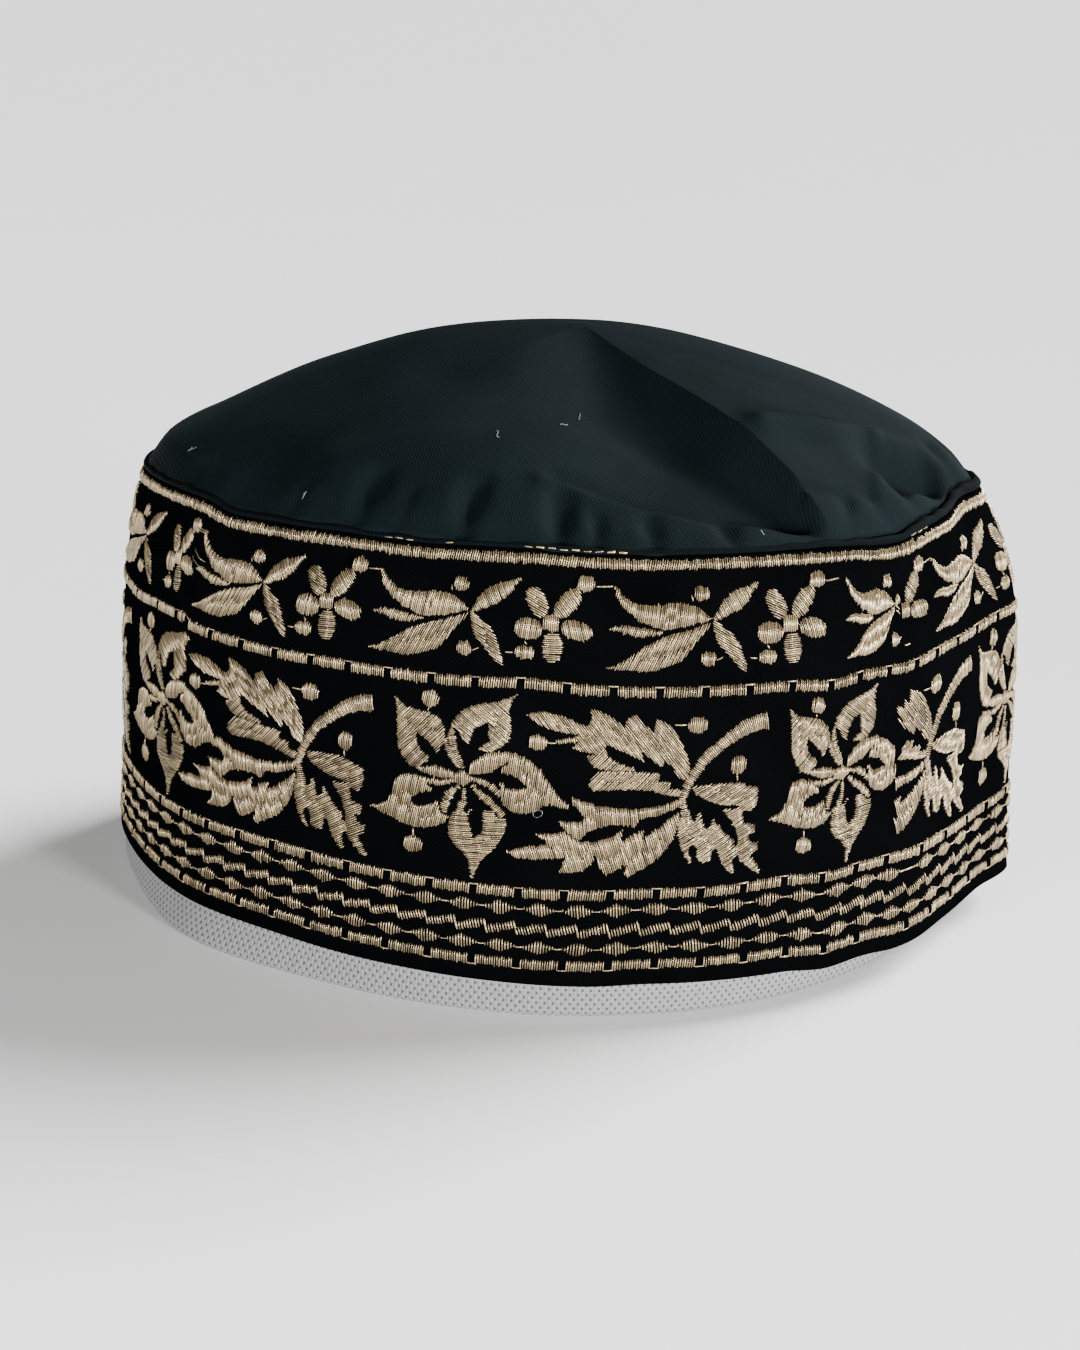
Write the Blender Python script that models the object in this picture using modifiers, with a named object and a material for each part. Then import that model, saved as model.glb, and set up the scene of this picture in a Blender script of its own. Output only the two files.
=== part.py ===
"""A kufi cap: an embroidered cloth band, a soft gathered crown, a corded seam and a knitted sweatband.

Units are metres, +Z is up, and the front of the cap faces -Y. The cap stands on the lower edge of its
sweatband, and the origin is on the surface below the middle of the cap's own box.
"""

import math
from collections import namedtuple

import bpy
import bmesh
import numpy as np

MM = 0.001

# Folds sharper than this stay crisp
SHARP_ANGLE = math.radians(24.0)

# Driving heights above the surface
HEM_Z = 8.8 * MM
BAND_TOP_Z = 100.2 * MM
CROWN_RISE = 33.0 * MM

# Cloth thicknesses, the cord in the seam and the air left between pieces
BAND_WALL = 1.8 * MM
CROWN_WALL = 1.2 * MM
SWEATBAND_WALL = 1.6 * MM
WELT_RADIUS = 1.1 * MM
PIECE_GAP = 0.4 * MM

# The sweatband is back behind the hem this far below the hem's edge
EDGE_RISE = 1.0 * MM

# Heights of the rows on the band's inner face, and of the sweatband's rows
BAND_INNER_HEIGHTS = (8.8 * MM, 52.0 * MM, 88.0 * MM, 100.2 * MM)
SWEATBAND_HEIGHTS = (0.0, 4.0 * MM, 7.8 * MM, 13.0 * MM, 24.0 * MM, 34.0 * MM)

# How many columns each piece has around the head
BAND_COLUMNS = 120
CROWN_COLUMNS = 96
SWEATBAND_COLUMNS = 80
WELT_COLUMNS = 96
CROWN_RINGS = 11
CURVE_STEPS = 24

# Below 1, the crown's rings lie closer together towards the seam
RING_CROWDING = 0.6

Bend = namedtuple("Bend", "place x y")
Lean = namedtuple("Lean", "place z inset")
Gore = namedtuple("Gore", "place at inner middle shoulder edge")
Gather = namedtuple("Gather", "place at width reach depth")
Tuck = namedtuple("Tuck", "place at inset")

# The band's outer face, seen from above: one row for each bend, in millimetres
PLAN = (
    Bend("left side", -108.0, 16.5),
    Bend("left front corner", -104.2, -8.4),
    Bend("left front", -82.6, -41.1),
    Bend("front, left of the middle", -44.6, -64.1),
    Bend("front, near the middle", -8.5, -74.3),
    Bend("front middle", 24.9, -74.7),
    Bend("front, right of the middle", 52.9, -67.3),
    Bend("crown crease", 76.7, -53.7),
    Bend("band join", 88.4, -41.2),
    Bend("before the right corner", 98.6, -28.0),
    Bend("right corner", 109.1, -14.8),
    Bend("right side", 105.9, 3.0),
    Bend("right back", 93.6, 29.5),
    Bend("back, right of the middle", 66.4, 56.9),
    Bend("back middle, right", 25.1, 73.9),
    Bend("back middle, left", -22.4, 73.2),
    Bend("back, left of the middle", -66.0, 57.3),
    Bend("left back", -96.5, 36.0),
)

# Places around the cap are arcs along the plan, counted to the right from the first stitched column
# at the left of the front, in millimetres; this is where the plan's front middle lies
FRONT_MIDDLE_AT = 110.4

# How far the wall leans in from the plan at each height, in millimetres
WALL = (
    Lean("hem", 8.8, -0.6),
    Lean("lower border line", 13.0, 0.0),
    Lean("upper border line", 29.4, 1.4),
    Lean("main row", 52.0, 2.8),
    Lean("divider line", 73.6, 4.6),
    Lean("bird row", 88.0, 7.0),
    Lean("top line", 98.4, 9.9),
    Lean("seam", 100.2, 10.4),
)

# The crown's height above the seam on the way from its peak to the rim, in millimetres,
# at three tenths, six tenths, seventeen and nineteen twentieths of the way, from the sharp crease on
CROWN_PEAK = (3.3, 5.0)
CREASE_AT = 146.0
CROWN_STATIONS = (0.3, 0.6, 0.85, 0.95)
GORES = (
    Gore("crease", 146.0, 24.6, 14.6, 6.4, 3.0),
    Gore("right facet", 185.0, 26.2, 18.4, 9.4, 5.0),
    Gore("right corner", 218.0, 27.2, 18.8, 9.8, 5.6),
    Gore("right back", 262.0, 28.2, 19.6, 10.6, 6.0),
    Gore("back middle", 360.0, 30.5, 22.0, 12.0, 6.5),
    Gore("left back", 455.0, 31.0, 23.2, 12.4, 6.8),
    Gore("left side", 522.0, 30.8, 21.6, 11.0, 6.6),
    Gore("left front", 575.0, 29.3, 20.5, 11.6, 6.8),
    Gore("front middle", 655.0, 27.0, 18.8, 13.0, 7.6),
    Gore("front right", 688.0, 23.5, 15.8, 11.6, 7.0),
    Gore("hollow beside the crease", 711.0, 18.4, 9.8, 6.0, 4.0),
)

# Dents that the gathered crown makes where it runs into the seam, in millimetres
GATHERS = (
    Gather("left dent", 44.0, 5.0, 18.0, 2.0),
    Gather("first front dent", 67.0, 4.5, 20.0, 2.4),
    Gather("second front dent", 87.0, 5.0, 20.0, 2.2),
    Gather("dent before the corner", 176.0, 5.0, 16.0, 2.2),
    Gather("corner hollow", 194.0, 8.0, 26.0, 3.6),
    Gather("right corner dent", 212.0, 4.5, 18.0, 2.0),
)

# How far the sweatband's lower edge sits in from the band's plan, in millimetres
TUCKS = (
    Tuck("left back", -95.0, 0.0),
    Tuck("left side", -50.0, -0.3),
    Tuck("left front", -4.0, -2.8),
    Tuck("front left", 32.0, -0.8),
    Tuck("front middle", 74.0, 0.6),
    Tuck("front right", 118.0, 3.0),
    Tuck("crown crease", 146.0, 4.8),
    Tuck("band join", 170.0, 7.2),
    Tuck("right corner", 214.0, 12.0),
    Tuck("right back", 270.0, 6.0),
    Tuck("back middle", 360.0, 1.5),
)


def clear_scene():
    for old in list(bpy.data.objects):
        bpy.data.objects.remove(old, do_unlink=True)


def closed_curve(bends, steps):
    """Catmull-Rom curve through the bends, closed, with the same number of steps between each pair."""
    points = np.array([(b.x, b.y) for b in bends]) * MM
    before, after, later = np.roll(points, 1, 0), np.roll(points, -1, 0), np.roll(points, -2, 0)
    t = (np.arange(steps) / steps)[:, None, None]
    curve = 0.5 * (
        2 * points
        + (after - before) * t
        + (2 * before - 5 * points + 4 * after - later) * t**2
        + (3 * points - before - 3 * after + later) * t**3
    )
    return curve.transpose(1, 0, 2).reshape(-1, 2)


def plan_line():
    """The plan as points about its middle, their places around the cap and its whole girth."""
    points = closed_curve(PLAN, CURVE_STEPS)
    points = points - (points.max(0) + points.min(0)) / 2
    steps = np.linalg.norm(np.roll(points, -1, 0) - points, axis=1)
    arc = np.concatenate([[0], np.cumsum(steps)[:-1]])
    middle = [bend.place for bend in PLAN].index("front middle") * CURVE_STEPS
    return points, arc - arc[middle] + FRONT_MIDDLE_AT * MM, steps.sum()


def around(at, inset):
    """Points at places around the cap, drawn in towards its middle by an inset."""
    points, place, girth = plan_line()
    half = points.max(0)
    x, y = (np.interp(at, place, points[:, i], period=girth) for i in (0, 1))
    return x * (1 - inset / half[0]), y * (1 - inset / half[1])


def girth_of_plan():
    return plan_line()[2]


def slopes(knots, values):
    """Slopes for a monotone cubic: the harmonic mean of the steps on both sides, or zero at a peak."""
    gaps = np.diff(knots)[:, None]
    rises = np.diff(values, axis=0) / gaps
    left, right = rises[:-1], rises[1:]
    same = left * right > 0
    safe = np.where(same, left + right, 1.0)
    middle = np.where(same, 2 * left * right / safe, 0.0)
    return np.concatenate([rises[:1], middle, rises[-1:]])


def through(knots, values, at):
    """A smooth curve through rows of values, read at new places."""
    knots = np.asarray(knots, float)
    values = np.asarray(values, float).reshape(len(knots), -1)
    tangents = slopes(knots, values)
    span = np.clip(np.searchsorted(knots, at, side="right") - 1, 0, len(knots) - 2)
    width = (knots[span + 1] - knots[span])[:, None]
    t = (np.asarray(at)[:, None] - knots[span][:, None]) / width
    return (
        values[span] * (2 * t**3 - 3 * t**2 + 1)
        + tangents[span] * width * (t**3 - 2 * t**2 + t)
        + values[span + 1] * (3 * t**2 - 2 * t**3)
        + tangents[span + 1] * width * (t**3 - t**2)
    )


def wall_inset(z):
    """How far the band's outer face leans in at a height."""
    heights = [row.z * MM for row in WALL]
    insets = [row.inset * MM for row in WALL]
    return through(heights, insets, np.array([z]))[0, 0]


def cloth_material(name, color, roughness):
    material = bpy.data.materials.new(name)
    material.use_nodes = True
    shader = material.node_tree.nodes["Principled BSDF"]
    shader.inputs["Base Color"].default_value = (*color, 1.0)
    shader.inputs["Roughness"].default_value = roughness
    shader.inputs["Metallic"].default_value = 0.0
    return material


def add_cloth(collection, name, rows, material, peak=None):
    """A piece lofted through closed rows of points, joined last to first or closed with a peak."""
    shape = bmesh.new()
    loops = [[shape.verts.new(point) for point in row] for row in rows]
    uppers = loops[1:] if peak else loops[1:] + loops[:1]
    for lower, upper in zip(loops, uppers):
        for i, corner in enumerate(lower):
            j = (i + 1) % len(lower)
            shape.faces.new((corner, lower[j], upper[j], upper[i]))
    if peak:
        top = shape.verts.new(peak)
        last = loops[-1]
        for i, corner in enumerate(last):
            shape.faces.new((corner, last[(i + 1) % len(last)], top))
    mesh = bpy.data.meshes.new(name)
    shape.to_mesh(mesh)
    shape.free()
    mesh.materials.append(material)
    mesh.shade_smooth()
    mesh.set_sharp_from_angle(angle=SHARP_ANGLE)
    piece = bpy.data.objects.new(name, mesh)
    collection.objects.link(piece)
    return piece


def ring(at, inset, z):
    """A closed row of points around the cap at one height."""
    x, y = around(at, inset)
    return np.stack([x, y, np.full_like(x, z)], -1).tolist()


def make_band(collection):
    """The side band: a wall that leans in towards the crown, up its outer face and down its inner one."""
    at = np.arange(BAND_COLUMNS) * girth_of_plan() / BAND_COLUMNS
    outer = [ring(at, wall_inset(row.z * MM), row.z * MM) for row in WALL]
    inner = [ring(at, wall_inset(z) + BAND_WALL, z) for z in BAND_INNER_HEIGHTS]
    material = cloth_material("black_embroidered_cloth", (0.006, 0.007, 0.009), 0.75)
    return add_cloth(collection, "band", outer + inner[::-1], material)


def tuck_inset(at):
    """How far in the sweatband's lower edge sits at places around the cap."""
    girth = girth_of_plan()
    first = TUCKS[0].at * MM
    knots = [row.at * MM for row in TUCKS] + [first + girth]
    insets = [row.inset * MM for row in TUCKS + TUCKS[:1]]
    return through(knots, insets, first + np.mod(at - first, girth))[:, 0]


def make_sweatband(collection):
    """The knitted band inside the hem, which carries the cap on its flat lower edge."""
    at = np.arange(SWEATBAND_COLUMNS) * girth_of_plan() / SWEATBAND_COLUMNS
    lower = tuck_inset(at)
    outer = []
    inner = []
    for z in SWEATBAND_HEIGHTS:
        hidden = wall_inset(max(z, HEM_Z)) + BAND_WALL + PIECE_GAP
        share = min(z / (HEM_Z - EDGE_RISE), 1.0)
        inset = lower * (1 - share) + np.maximum(lower, hidden) * share
        outer.append(ring(at, inset, z))
        inner.append(ring(at, inset + SWEATBAND_WALL, z))
    material = cloth_material("white_knit", (0.78, 0.79, 0.80), 0.9)
    return add_cloth(collection, "sweatband", outer + inner[::-1], material)


def welt_inset():
    """The middle of the cord lies over the middle of the band's wall."""
    return wall_inset(BAND_TOP_Z) + BAND_WALL / 2


def make_welt(collection):
    """The covered cord in the seam between the band and the crown."""
    at = np.arange(WELT_COLUMNS) * girth_of_plan() / WELT_COLUMNS
    x, y = around(at, welt_inset())
    z = BAND_TOP_Z + PIECE_GAP + WELT_RADIUS
    curve = bpy.data.curves.new("crown_welt", "CURVE")
    curve.dimensions = "3D"
    curve.bevel_depth = WELT_RADIUS
    curve.bevel_resolution = 2
    spline = curve.splines.new("POLY")
    spline.points.add(WELT_COLUMNS - 1)
    for point, px, py in zip(spline.points, x, y):
        point.co = (px, py, z, 1.0)
    spline.use_cyclic_u = True
    curve.materials.append(cloth_material("black_seam_cord", (0.005, 0.007, 0.008), 0.7))
    piece = bpy.data.objects.new("crown_welt", curve)
    collection.objects.link(piece)
    return piece


def crown_height(at, out):
    """Height above the seam at places around the cap and at a share of the way out to the seam."""
    girth = girth_of_plan()
    start = CREASE_AT * MM
    turned = start + np.mod(at - start, girth)
    knots = [row.at * MM for row in GORES] + [start + girth]
    heights = [(row.inner, row.middle, row.shoulder, row.edge) for row in GORES]
    heights.append(heights[0])
    stations = through(knots, np.array(heights) * MM, turned)
    profile = np.concatenate(
        [np.full((1, len(at)), CROWN_RISE), stations.T, np.zeros((1, len(at)))]
    )
    return through((0.0, *CROWN_STATIONS, 1.0), profile, np.full(1, out))[0]


def gather_depth(at, from_rim):
    """How deep the gathers press the crown in, at a distance from the seam."""
    girth = girth_of_plan()
    depth = np.zeros_like(at)
    for dent in GATHERS:
        across = np.mod(at - dent.at * MM + girth / 2, girth) - girth / 2
        along = from_rim / (dent.reach * MM)
        shape = np.sin(np.pi * np.clip(along, 0, 1)) ** 0.8
        depth += dent.depth * MM * np.exp(-((across / (dent.width * MM)) ** 2)) * shape
    return depth


def make_crown(collection):
    """The soft top: gores between the peak and the seam, with one sharp crease and the gathers."""
    girth = girth_of_plan()
    at = CREASE_AT * MM + np.arange(CROWN_COLUMNS) * girth / CROWN_COLUMNS
    rim_inset = welt_inset() + WELT_RADIUS + PIECE_GAP
    rim_x, rim_y = around(at, rim_inset)
    peak_x, peak_y = (c * MM for c in CROWN_PEAK)
    reach = np.hypot(rim_x - peak_x, rim_y - peak_y)
    rows = []
    for ring in range(CROWN_RINGS):
        out = (1 - ring / CROWN_RINGS) ** RING_CROWDING
        height = crown_height(at, out) - gather_depth(at, reach * (1 - out))
        x = peak_x + (rim_x - peak_x) * out
        y = peak_y + (rim_y - peak_y) * out
        z = BAND_TOP_Z + PIECE_GAP + height
        rows.append(np.stack([x, y, z], -1).tolist())
    peak = (peak_x, peak_y, BAND_TOP_Z + PIECE_GAP + CROWN_RISE)
    material = cloth_material("black_crown_cloth", (0.010, 0.016, 0.018), 0.65)
    piece = add_cloth(collection, "crown", rows, material, peak)
    thickness = piece.modifiers.new("Thickness", "SOLIDIFY")
    thickness.thickness = CROWN_WALL
    thickness.offset = -1.0
    thickness.use_even_offset = True
    return piece


def main():
    clear_scene()
    cap = bpy.data.collections.new("kufi_cap")
    bpy.context.scene.collection.children.link(cap)
    make_band(cap)
    make_sweatband(cap)
    make_welt(cap)
    make_crown(cap)


main()
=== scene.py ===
"""The looks of a kufi cap: stitched band, gathered crown, corded seam and knitted sweatband.

Units are metres and +Z is up. The cap stands on its sweatband and its embroidered front faces -Y.
Places on the band are given as an arc around the cap, counted to the right from the first stitched
block at the left of the front, and a height above the surface that the cap stands on.
"""

import math
from collections import namedtuple

import bpy
import numpy as np
from mathutils import Matrix, Vector


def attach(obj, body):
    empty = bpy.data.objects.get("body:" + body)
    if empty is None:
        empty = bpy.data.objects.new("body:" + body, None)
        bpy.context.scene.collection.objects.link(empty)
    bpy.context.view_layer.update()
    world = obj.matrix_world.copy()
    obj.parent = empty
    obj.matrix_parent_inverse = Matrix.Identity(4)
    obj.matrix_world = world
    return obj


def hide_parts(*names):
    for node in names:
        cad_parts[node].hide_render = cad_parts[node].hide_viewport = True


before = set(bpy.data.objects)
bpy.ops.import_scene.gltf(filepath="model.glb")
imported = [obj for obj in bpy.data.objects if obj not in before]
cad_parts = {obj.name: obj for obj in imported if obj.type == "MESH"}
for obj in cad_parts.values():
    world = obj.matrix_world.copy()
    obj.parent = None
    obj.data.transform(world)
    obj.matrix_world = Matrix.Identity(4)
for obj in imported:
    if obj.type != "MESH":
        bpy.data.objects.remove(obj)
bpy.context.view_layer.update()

bl_info = {
    "name": "Kufi cap looks",
    "version": (1, 0, 0),
    "blender": (4, 5, 0),
    "location": "View3D > Sidebar > Kufi cap",
    "description": "Builds the cloth, knit and embroidery of a kufi cap around its solid parts",
    "category": "Object",
}

MM = 0.001

# Heights and walls, the same as in the solid parts
HEM_Z = 8.8 * MM
BAND_TOP_Z = 100.2 * MM
CROWN_RISE = 33.0 * MM
BAND_WALL = 1.8 * MM
SWEATBAND_WALL = 1.6 * MM
PIECE_GAP = 0.4 * MM
EDGE_RISE = 1.0 * MM
SWEATBAND_TOP_Z = 34.0 * MM
CURVE_STEPS = 24

Bend = namedtuple("Bend", "place x y")
Lean = namedtuple("Lean", "place z inset")
Gore = namedtuple("Gore", "place at inner middle shoulder edge")
Gather = namedtuple("Gather", "place at width reach depth")
Tuck = namedtuple("Tuck", "place at inset")

# The band's outer face, seen from above: one row for each bend, in millimetres
PLAN = (
    Bend("left side", -108.0, 16.5),
    Bend("left front corner", -104.2, -8.4),
    Bend("left front", -82.6, -41.1),
    Bend("front, left of the middle", -44.6, -64.1),
    Bend("front, near the middle", -8.5, -74.3),
    Bend("front middle", 24.9, -74.7),
    Bend("front, right of the middle", 52.9, -67.3),
    Bend("crown crease", 76.7, -53.7),
    Bend("band join", 88.4, -41.2),
    Bend("before the right corner", 98.6, -28.0),
    Bend("right corner", 109.1, -14.8),
    Bend("right side", 105.9, 3.0),
    Bend("right back", 93.6, 29.5),
    Bend("back, right of the middle", 66.4, 56.9),
    Bend("back middle, right", 25.1, 73.9),
    Bend("back middle, left", -22.4, 73.2),
    Bend("back, left of the middle", -66.0, 57.3),
    Bend("left back", -96.5, 36.0),
)
FRONT_MIDDLE_AT = 110.4

# How far the wall leans in from the plan at each height, in millimetres
WALL = (
    Lean("hem", 8.8, -0.6),
    Lean("lower border line", 13.0, 0.0),
    Lean("upper border line", 29.4, 1.4),
    Lean("main row", 52.0, 2.8),
    Lean("divider line", 73.6, 4.6),
    Lean("bird row", 88.0, 7.0),
    Lean("top line", 98.4, 9.9),
    Lean("seam", 100.2, 10.4),
)

# The right front corner leans further in near the top than the rest of the wall
CORNER_LEAN = 5.0 * MM
CORNER_LEAN_AT = 214.0 * MM
CORNER_LEAN_SPAN = 20.0 * MM
CORNER_LEAN_FROM_Z = 72.0 * MM

# The crown's height above the seam on the way from its peak to the rim, in millimetres,
# at three tenths, six tenths, seventeen and nineteen twentieths of the way
CROWN_PEAK = (3.3, 5.0)
CREASE_AT = 148.0
CROWN_STATIONS = (0.3, 0.6, 0.85, 0.95)
GORES = (
    Gore("crease", 146.0, 26.6, 20.6, 12.4, 6.4),
    Gore("right facet", 185.0, 27.4, 21.0, 12.4, 6.6),
    Gore("right corner", 218.0, 28.4, 21.6, 12.8, 6.8),
    Gore("right back", 262.0, 29.8, 22.8, 13.4, 7.4),
    Gore("back middle", 360.0, 31.0, 23.2, 13.0, 7.2),
    Gore("left back", 455.0, 31.2, 23.6, 12.8, 7.2),
    Gore("left side", 522.0, 31.0, 22.2, 11.6, 7.0),
    Gore("left front", 575.0, 29.5, 20.9, 12.0, 7.2),
    Gore("front middle", 655.0, 28.4, 21.0, 13.8, 8.0),
)

# The fall of the cloth to the left of the sharp crease: how deep the hollow beside it is, and how far
# from the crease it is deepest, at shares of the way from the peak to the rim, in millimetres
Hollow = namedtuple("Hollow", "share depth reach")
HOLLOW = (
    Hollow(0.0, 0.0, 6.0),
    Hollow(0.06, 1.8, 6.5),
    Hollow(0.15, 4.0, 9.0),
    Hollow(0.3, 7.0, 12.0),
    Hollow(0.6, 11.0, 14.0),
    Hollow(0.8, 10.2, 9.5),
    Hollow(0.92, 6.4, 4.2),
    Hollow(0.97, 2.6, 2.4),
    Hollow(1.0, 0.0, 2.0),
)
# The crown's grid
CROWN_COLUMNS = 480
CROWN_RINGS = 90
CROWN_RING_POWER = 0.8
CROWN_WALL = 1.0 * MM
# The band's, the sweatband's and the seam cord's grids
COLUMNS = 720
BAND_ROWS = 60
BAND_INNER_ROWS = 12
EDGE_ROWS = 14
TUCKED_ROWS = 12
WELT_SIDES = 12
# The seam cord is uneven by this share of its radius, between this many places around the cap
WELT_UNEVEN = 0.12
WELT_KNOTS = 160
# The crown's edge stands this many cord radii above the seam
RIM_ON_CORD = 1.4
# The powers with which the folds, the hollow and the seam's rise fade between the rim and the crown
FOLD_END_POWER = 24
HOLLOW_END_POWER = 60
SEAM_RISE_POWER = 4
# A gather's depth from the rim inwards is this power of a sine, and it takes this share
# off the bulge
GATHER_POWER = 0.8
GATHER_FLATTENS = 0.9
# The cloth between the gathers bulges out over the seam by this share of the way from the peak
RIM_BULGE = 0.028
RIM_BULGE_AT = 0.965
RIM_BULGE_REACH = 0.024
RIM_BULGE_MIDDLE = 75.0
RIM_BULGE_SPAN = 62.0

# Dents that the gathered crown makes where it runs into the seam, in millimetres
GATHERS = (
    Gather("first front dent", 36.0, 3.6, 10.0, 3.2),
    Gather("second front dent", 62.0, 3.2, 11.0, 3.8),
    Gather("third front dent", 84.0, 3.2, 12.0, 3.4),
    Gather("small dent beside the first", 47.0, 1.8, 7.0, 1.2),
    Gather("small dent beside the third", 93.0, 2.0, 8.0, 1.6),
    Gather("low dent right of the middle", 106.0, 2.6, 9.0, 1.7),
    Gather("low dent before the crease", 124.0, 2.6, 8.0, 1.5),
    Gather("low dent left of the first", 18.0, 2.6, 8.0, 1.4),
    Gather("back dent, right", 322.0, 4.5, 15.0, 2.2),
    Gather("back dent, middle", 368.0, 4.0, 16.0, 2.4),
    Gather("back dent, left", 430.0, 5.0, 15.0, 2.0),
)

# Folds in the crown's cloth, as paths of places around the cap and shares of the way from the peak;
# a height above zero is a ridge and one below it is a dip, in millimetres
Fold = namedtuple("Fold", "place path width height")
FOLDS = (
    Fold("front roll", (
        (22.0, 0.88), (37.0, 0.81), (57.0, 0.75), (75.0, 0.69),
        (103.0, 0.62), (122.0, 0.72), (133.0, 0.86),
    ), 6.5, 1.7),
    Fold("hollow at the left front corner", ((-24.0, 0.95), (-8.0, 0.95), (6.0, 0.95)), 8.0, -2.6),
    Fold("shallow hollow above the roll", ((5.0, 0.40), (45.0, 0.42), (90.0, 0.36)), 12.0, -2.2),
    Fold("long thin fold", ((78.0, 0.84), (102.0, 0.88), (118.0, 0.92), (143.0, 0.98)), 1.8, 1.0),
    Fold("dip above the long fold", (
        (82.0, 0.80), (104.0, 0.845), (121.0, 0.885), (142.0, 0.95),
    ), 2.6, -0.8),
    Fold("ridge on the right", (
        (158.0, 0.66), (178.0, 0.73), (196.0, 0.80), (206.0, 0.89), (212.0, 0.97),
    ), 4.2, 2.6),
    Fold("hollow before the right corner", ((186.0, 0.86), (200.0, 0.91)), 4.8, -9.5),
    Fold("lip in front of the hollow", ((184.0, 0.955), (204.0, 0.965)), 2.4, 1.8),
    Fold("edge of the hollow", ((193.0, 0.80), (181.0, 0.86), (169.0, 0.94)), 2.0, 1.4),
    Fold("small crease", ((147.5, 0.89), (157.0, 0.915), (168.0, 0.92)), 1.1, -1.0),
    Fold("first pucker", ((158.0, 0.94), (154.0, 0.99)), 1.7, -1.5),
    Fold("pillow after it", ((163.0, 0.93), (162.0, 0.99)), 2.2, 1.1),
    Fold("second pucker", ((168.5, 0.94), (168.5, 0.99)), 1.7, -1.6),
    Fold("pillow before the corner", ((175.0, 0.94), (175.5, 0.99)), 2.2, 1.2),
    Fold("third pucker", ((181.5, 0.94), (183.0, 0.99)), 1.8, -1.6),
    Fold("fold at the right corner", ((214.0, 0.84), (207.0, 0.98)), 2.0, -1.6),
    Fold("fold past the right corner", ((228.0, 0.86), (217.0, 0.98)), 2.2, -1.4),
)

# The cord in the seam: its radius and how far the crown's edge is set in from the band, in millimetres
Seam = namedtuple("Seam", "place at cord set_in")
SEAM = (
    Seam("left back", -60.0, 0.70, 0.9),
    Seam("left corner", -6.0, 0.70, 1.0),
    Seam("front, left", 36.0, 0.60, 0.5),
    Seam("front middle", 96.0, 0.58, 0.4),
    Seam("crease", 146.0, 0.65, 0.7),
    Seam("before the corner", 173.0, 1.00, 1.9),
    Seam("right corner", 212.0, 1.10, 2.2),
    Seam("right back", 262.0, 0.80, 1.1),
    Seam("back", 400.0, 0.70, 0.9),
)

# How far the sweatband's lower edge sits in from the band's plan, in millimetres
TUCKS = (
    Tuck("left back", -95.0, 0.0),
    Tuck("left side", -50.0, -0.3),
    Tuck("left front", -4.0, -2.8),
    Tuck("front left", 32.0, -0.8),
    Tuck("front middle", 74.0, 0.6),
    Tuck("front right", 118.0, 3.0),
    Tuck("crown crease", 146.0, 4.8),
    Tuck("band join", 170.0, 7.2),
    Tuck("right corner", 214.0, 12.0),
    Tuck("right back", 270.0, 6.0),
    Tuck("back middle", 360.0, 1.5),
)

# The knit's holes: their step around the cap and the step of their rows
KNIT_HOLE_STEP = 1.8 * MM
KNIT_ROW_STEP = 2.2 * MM

# How fast the ribs of the crown's twill follow one another along X, Y and Z
CROWN_WEAVE = (1.6, 0.6, 0.0)

# How the embroidery is stitched, in millimetres
THREAD_PITCH = 0.42
BORDER_PITCH = 0.50
FIGURE_PITCH = 0.57
THREAD_WIDTH = 0.37
THREAD_RADIUS = 0.19
STITCH_RISE = 0.42
END_SHARE = 0.34
LONGEST_STITCH = 5.6
SHORTEST_STITCH = 0.5
RAGGED_EDGE = 0.13
EDGE_REACH = 0.16
SPLIT_OVERLAP = 0.55
BORDER_THREAD_WIDTH = 0.36

# A filled shape: its stitches lie at an angle to the level, inside an outline
Fill = namedtuple("Fill", "place angle outline")
# A stem, arm or line: its stitches lie across a path that has a width at each point
Stem = namedtuple("Stem", "place path widths")
# A rounded pad: its length lies along one angle and its stitches along another
Pad = namedtuple("Pad", "place at height length width turn angle")
Motif = namedtuple("Motif", "hub shapes")
Place = namedtuple("Place", "motif at squeeze side")
Pull = namedtuple("Pull", "place at hem border divider top")

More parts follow.
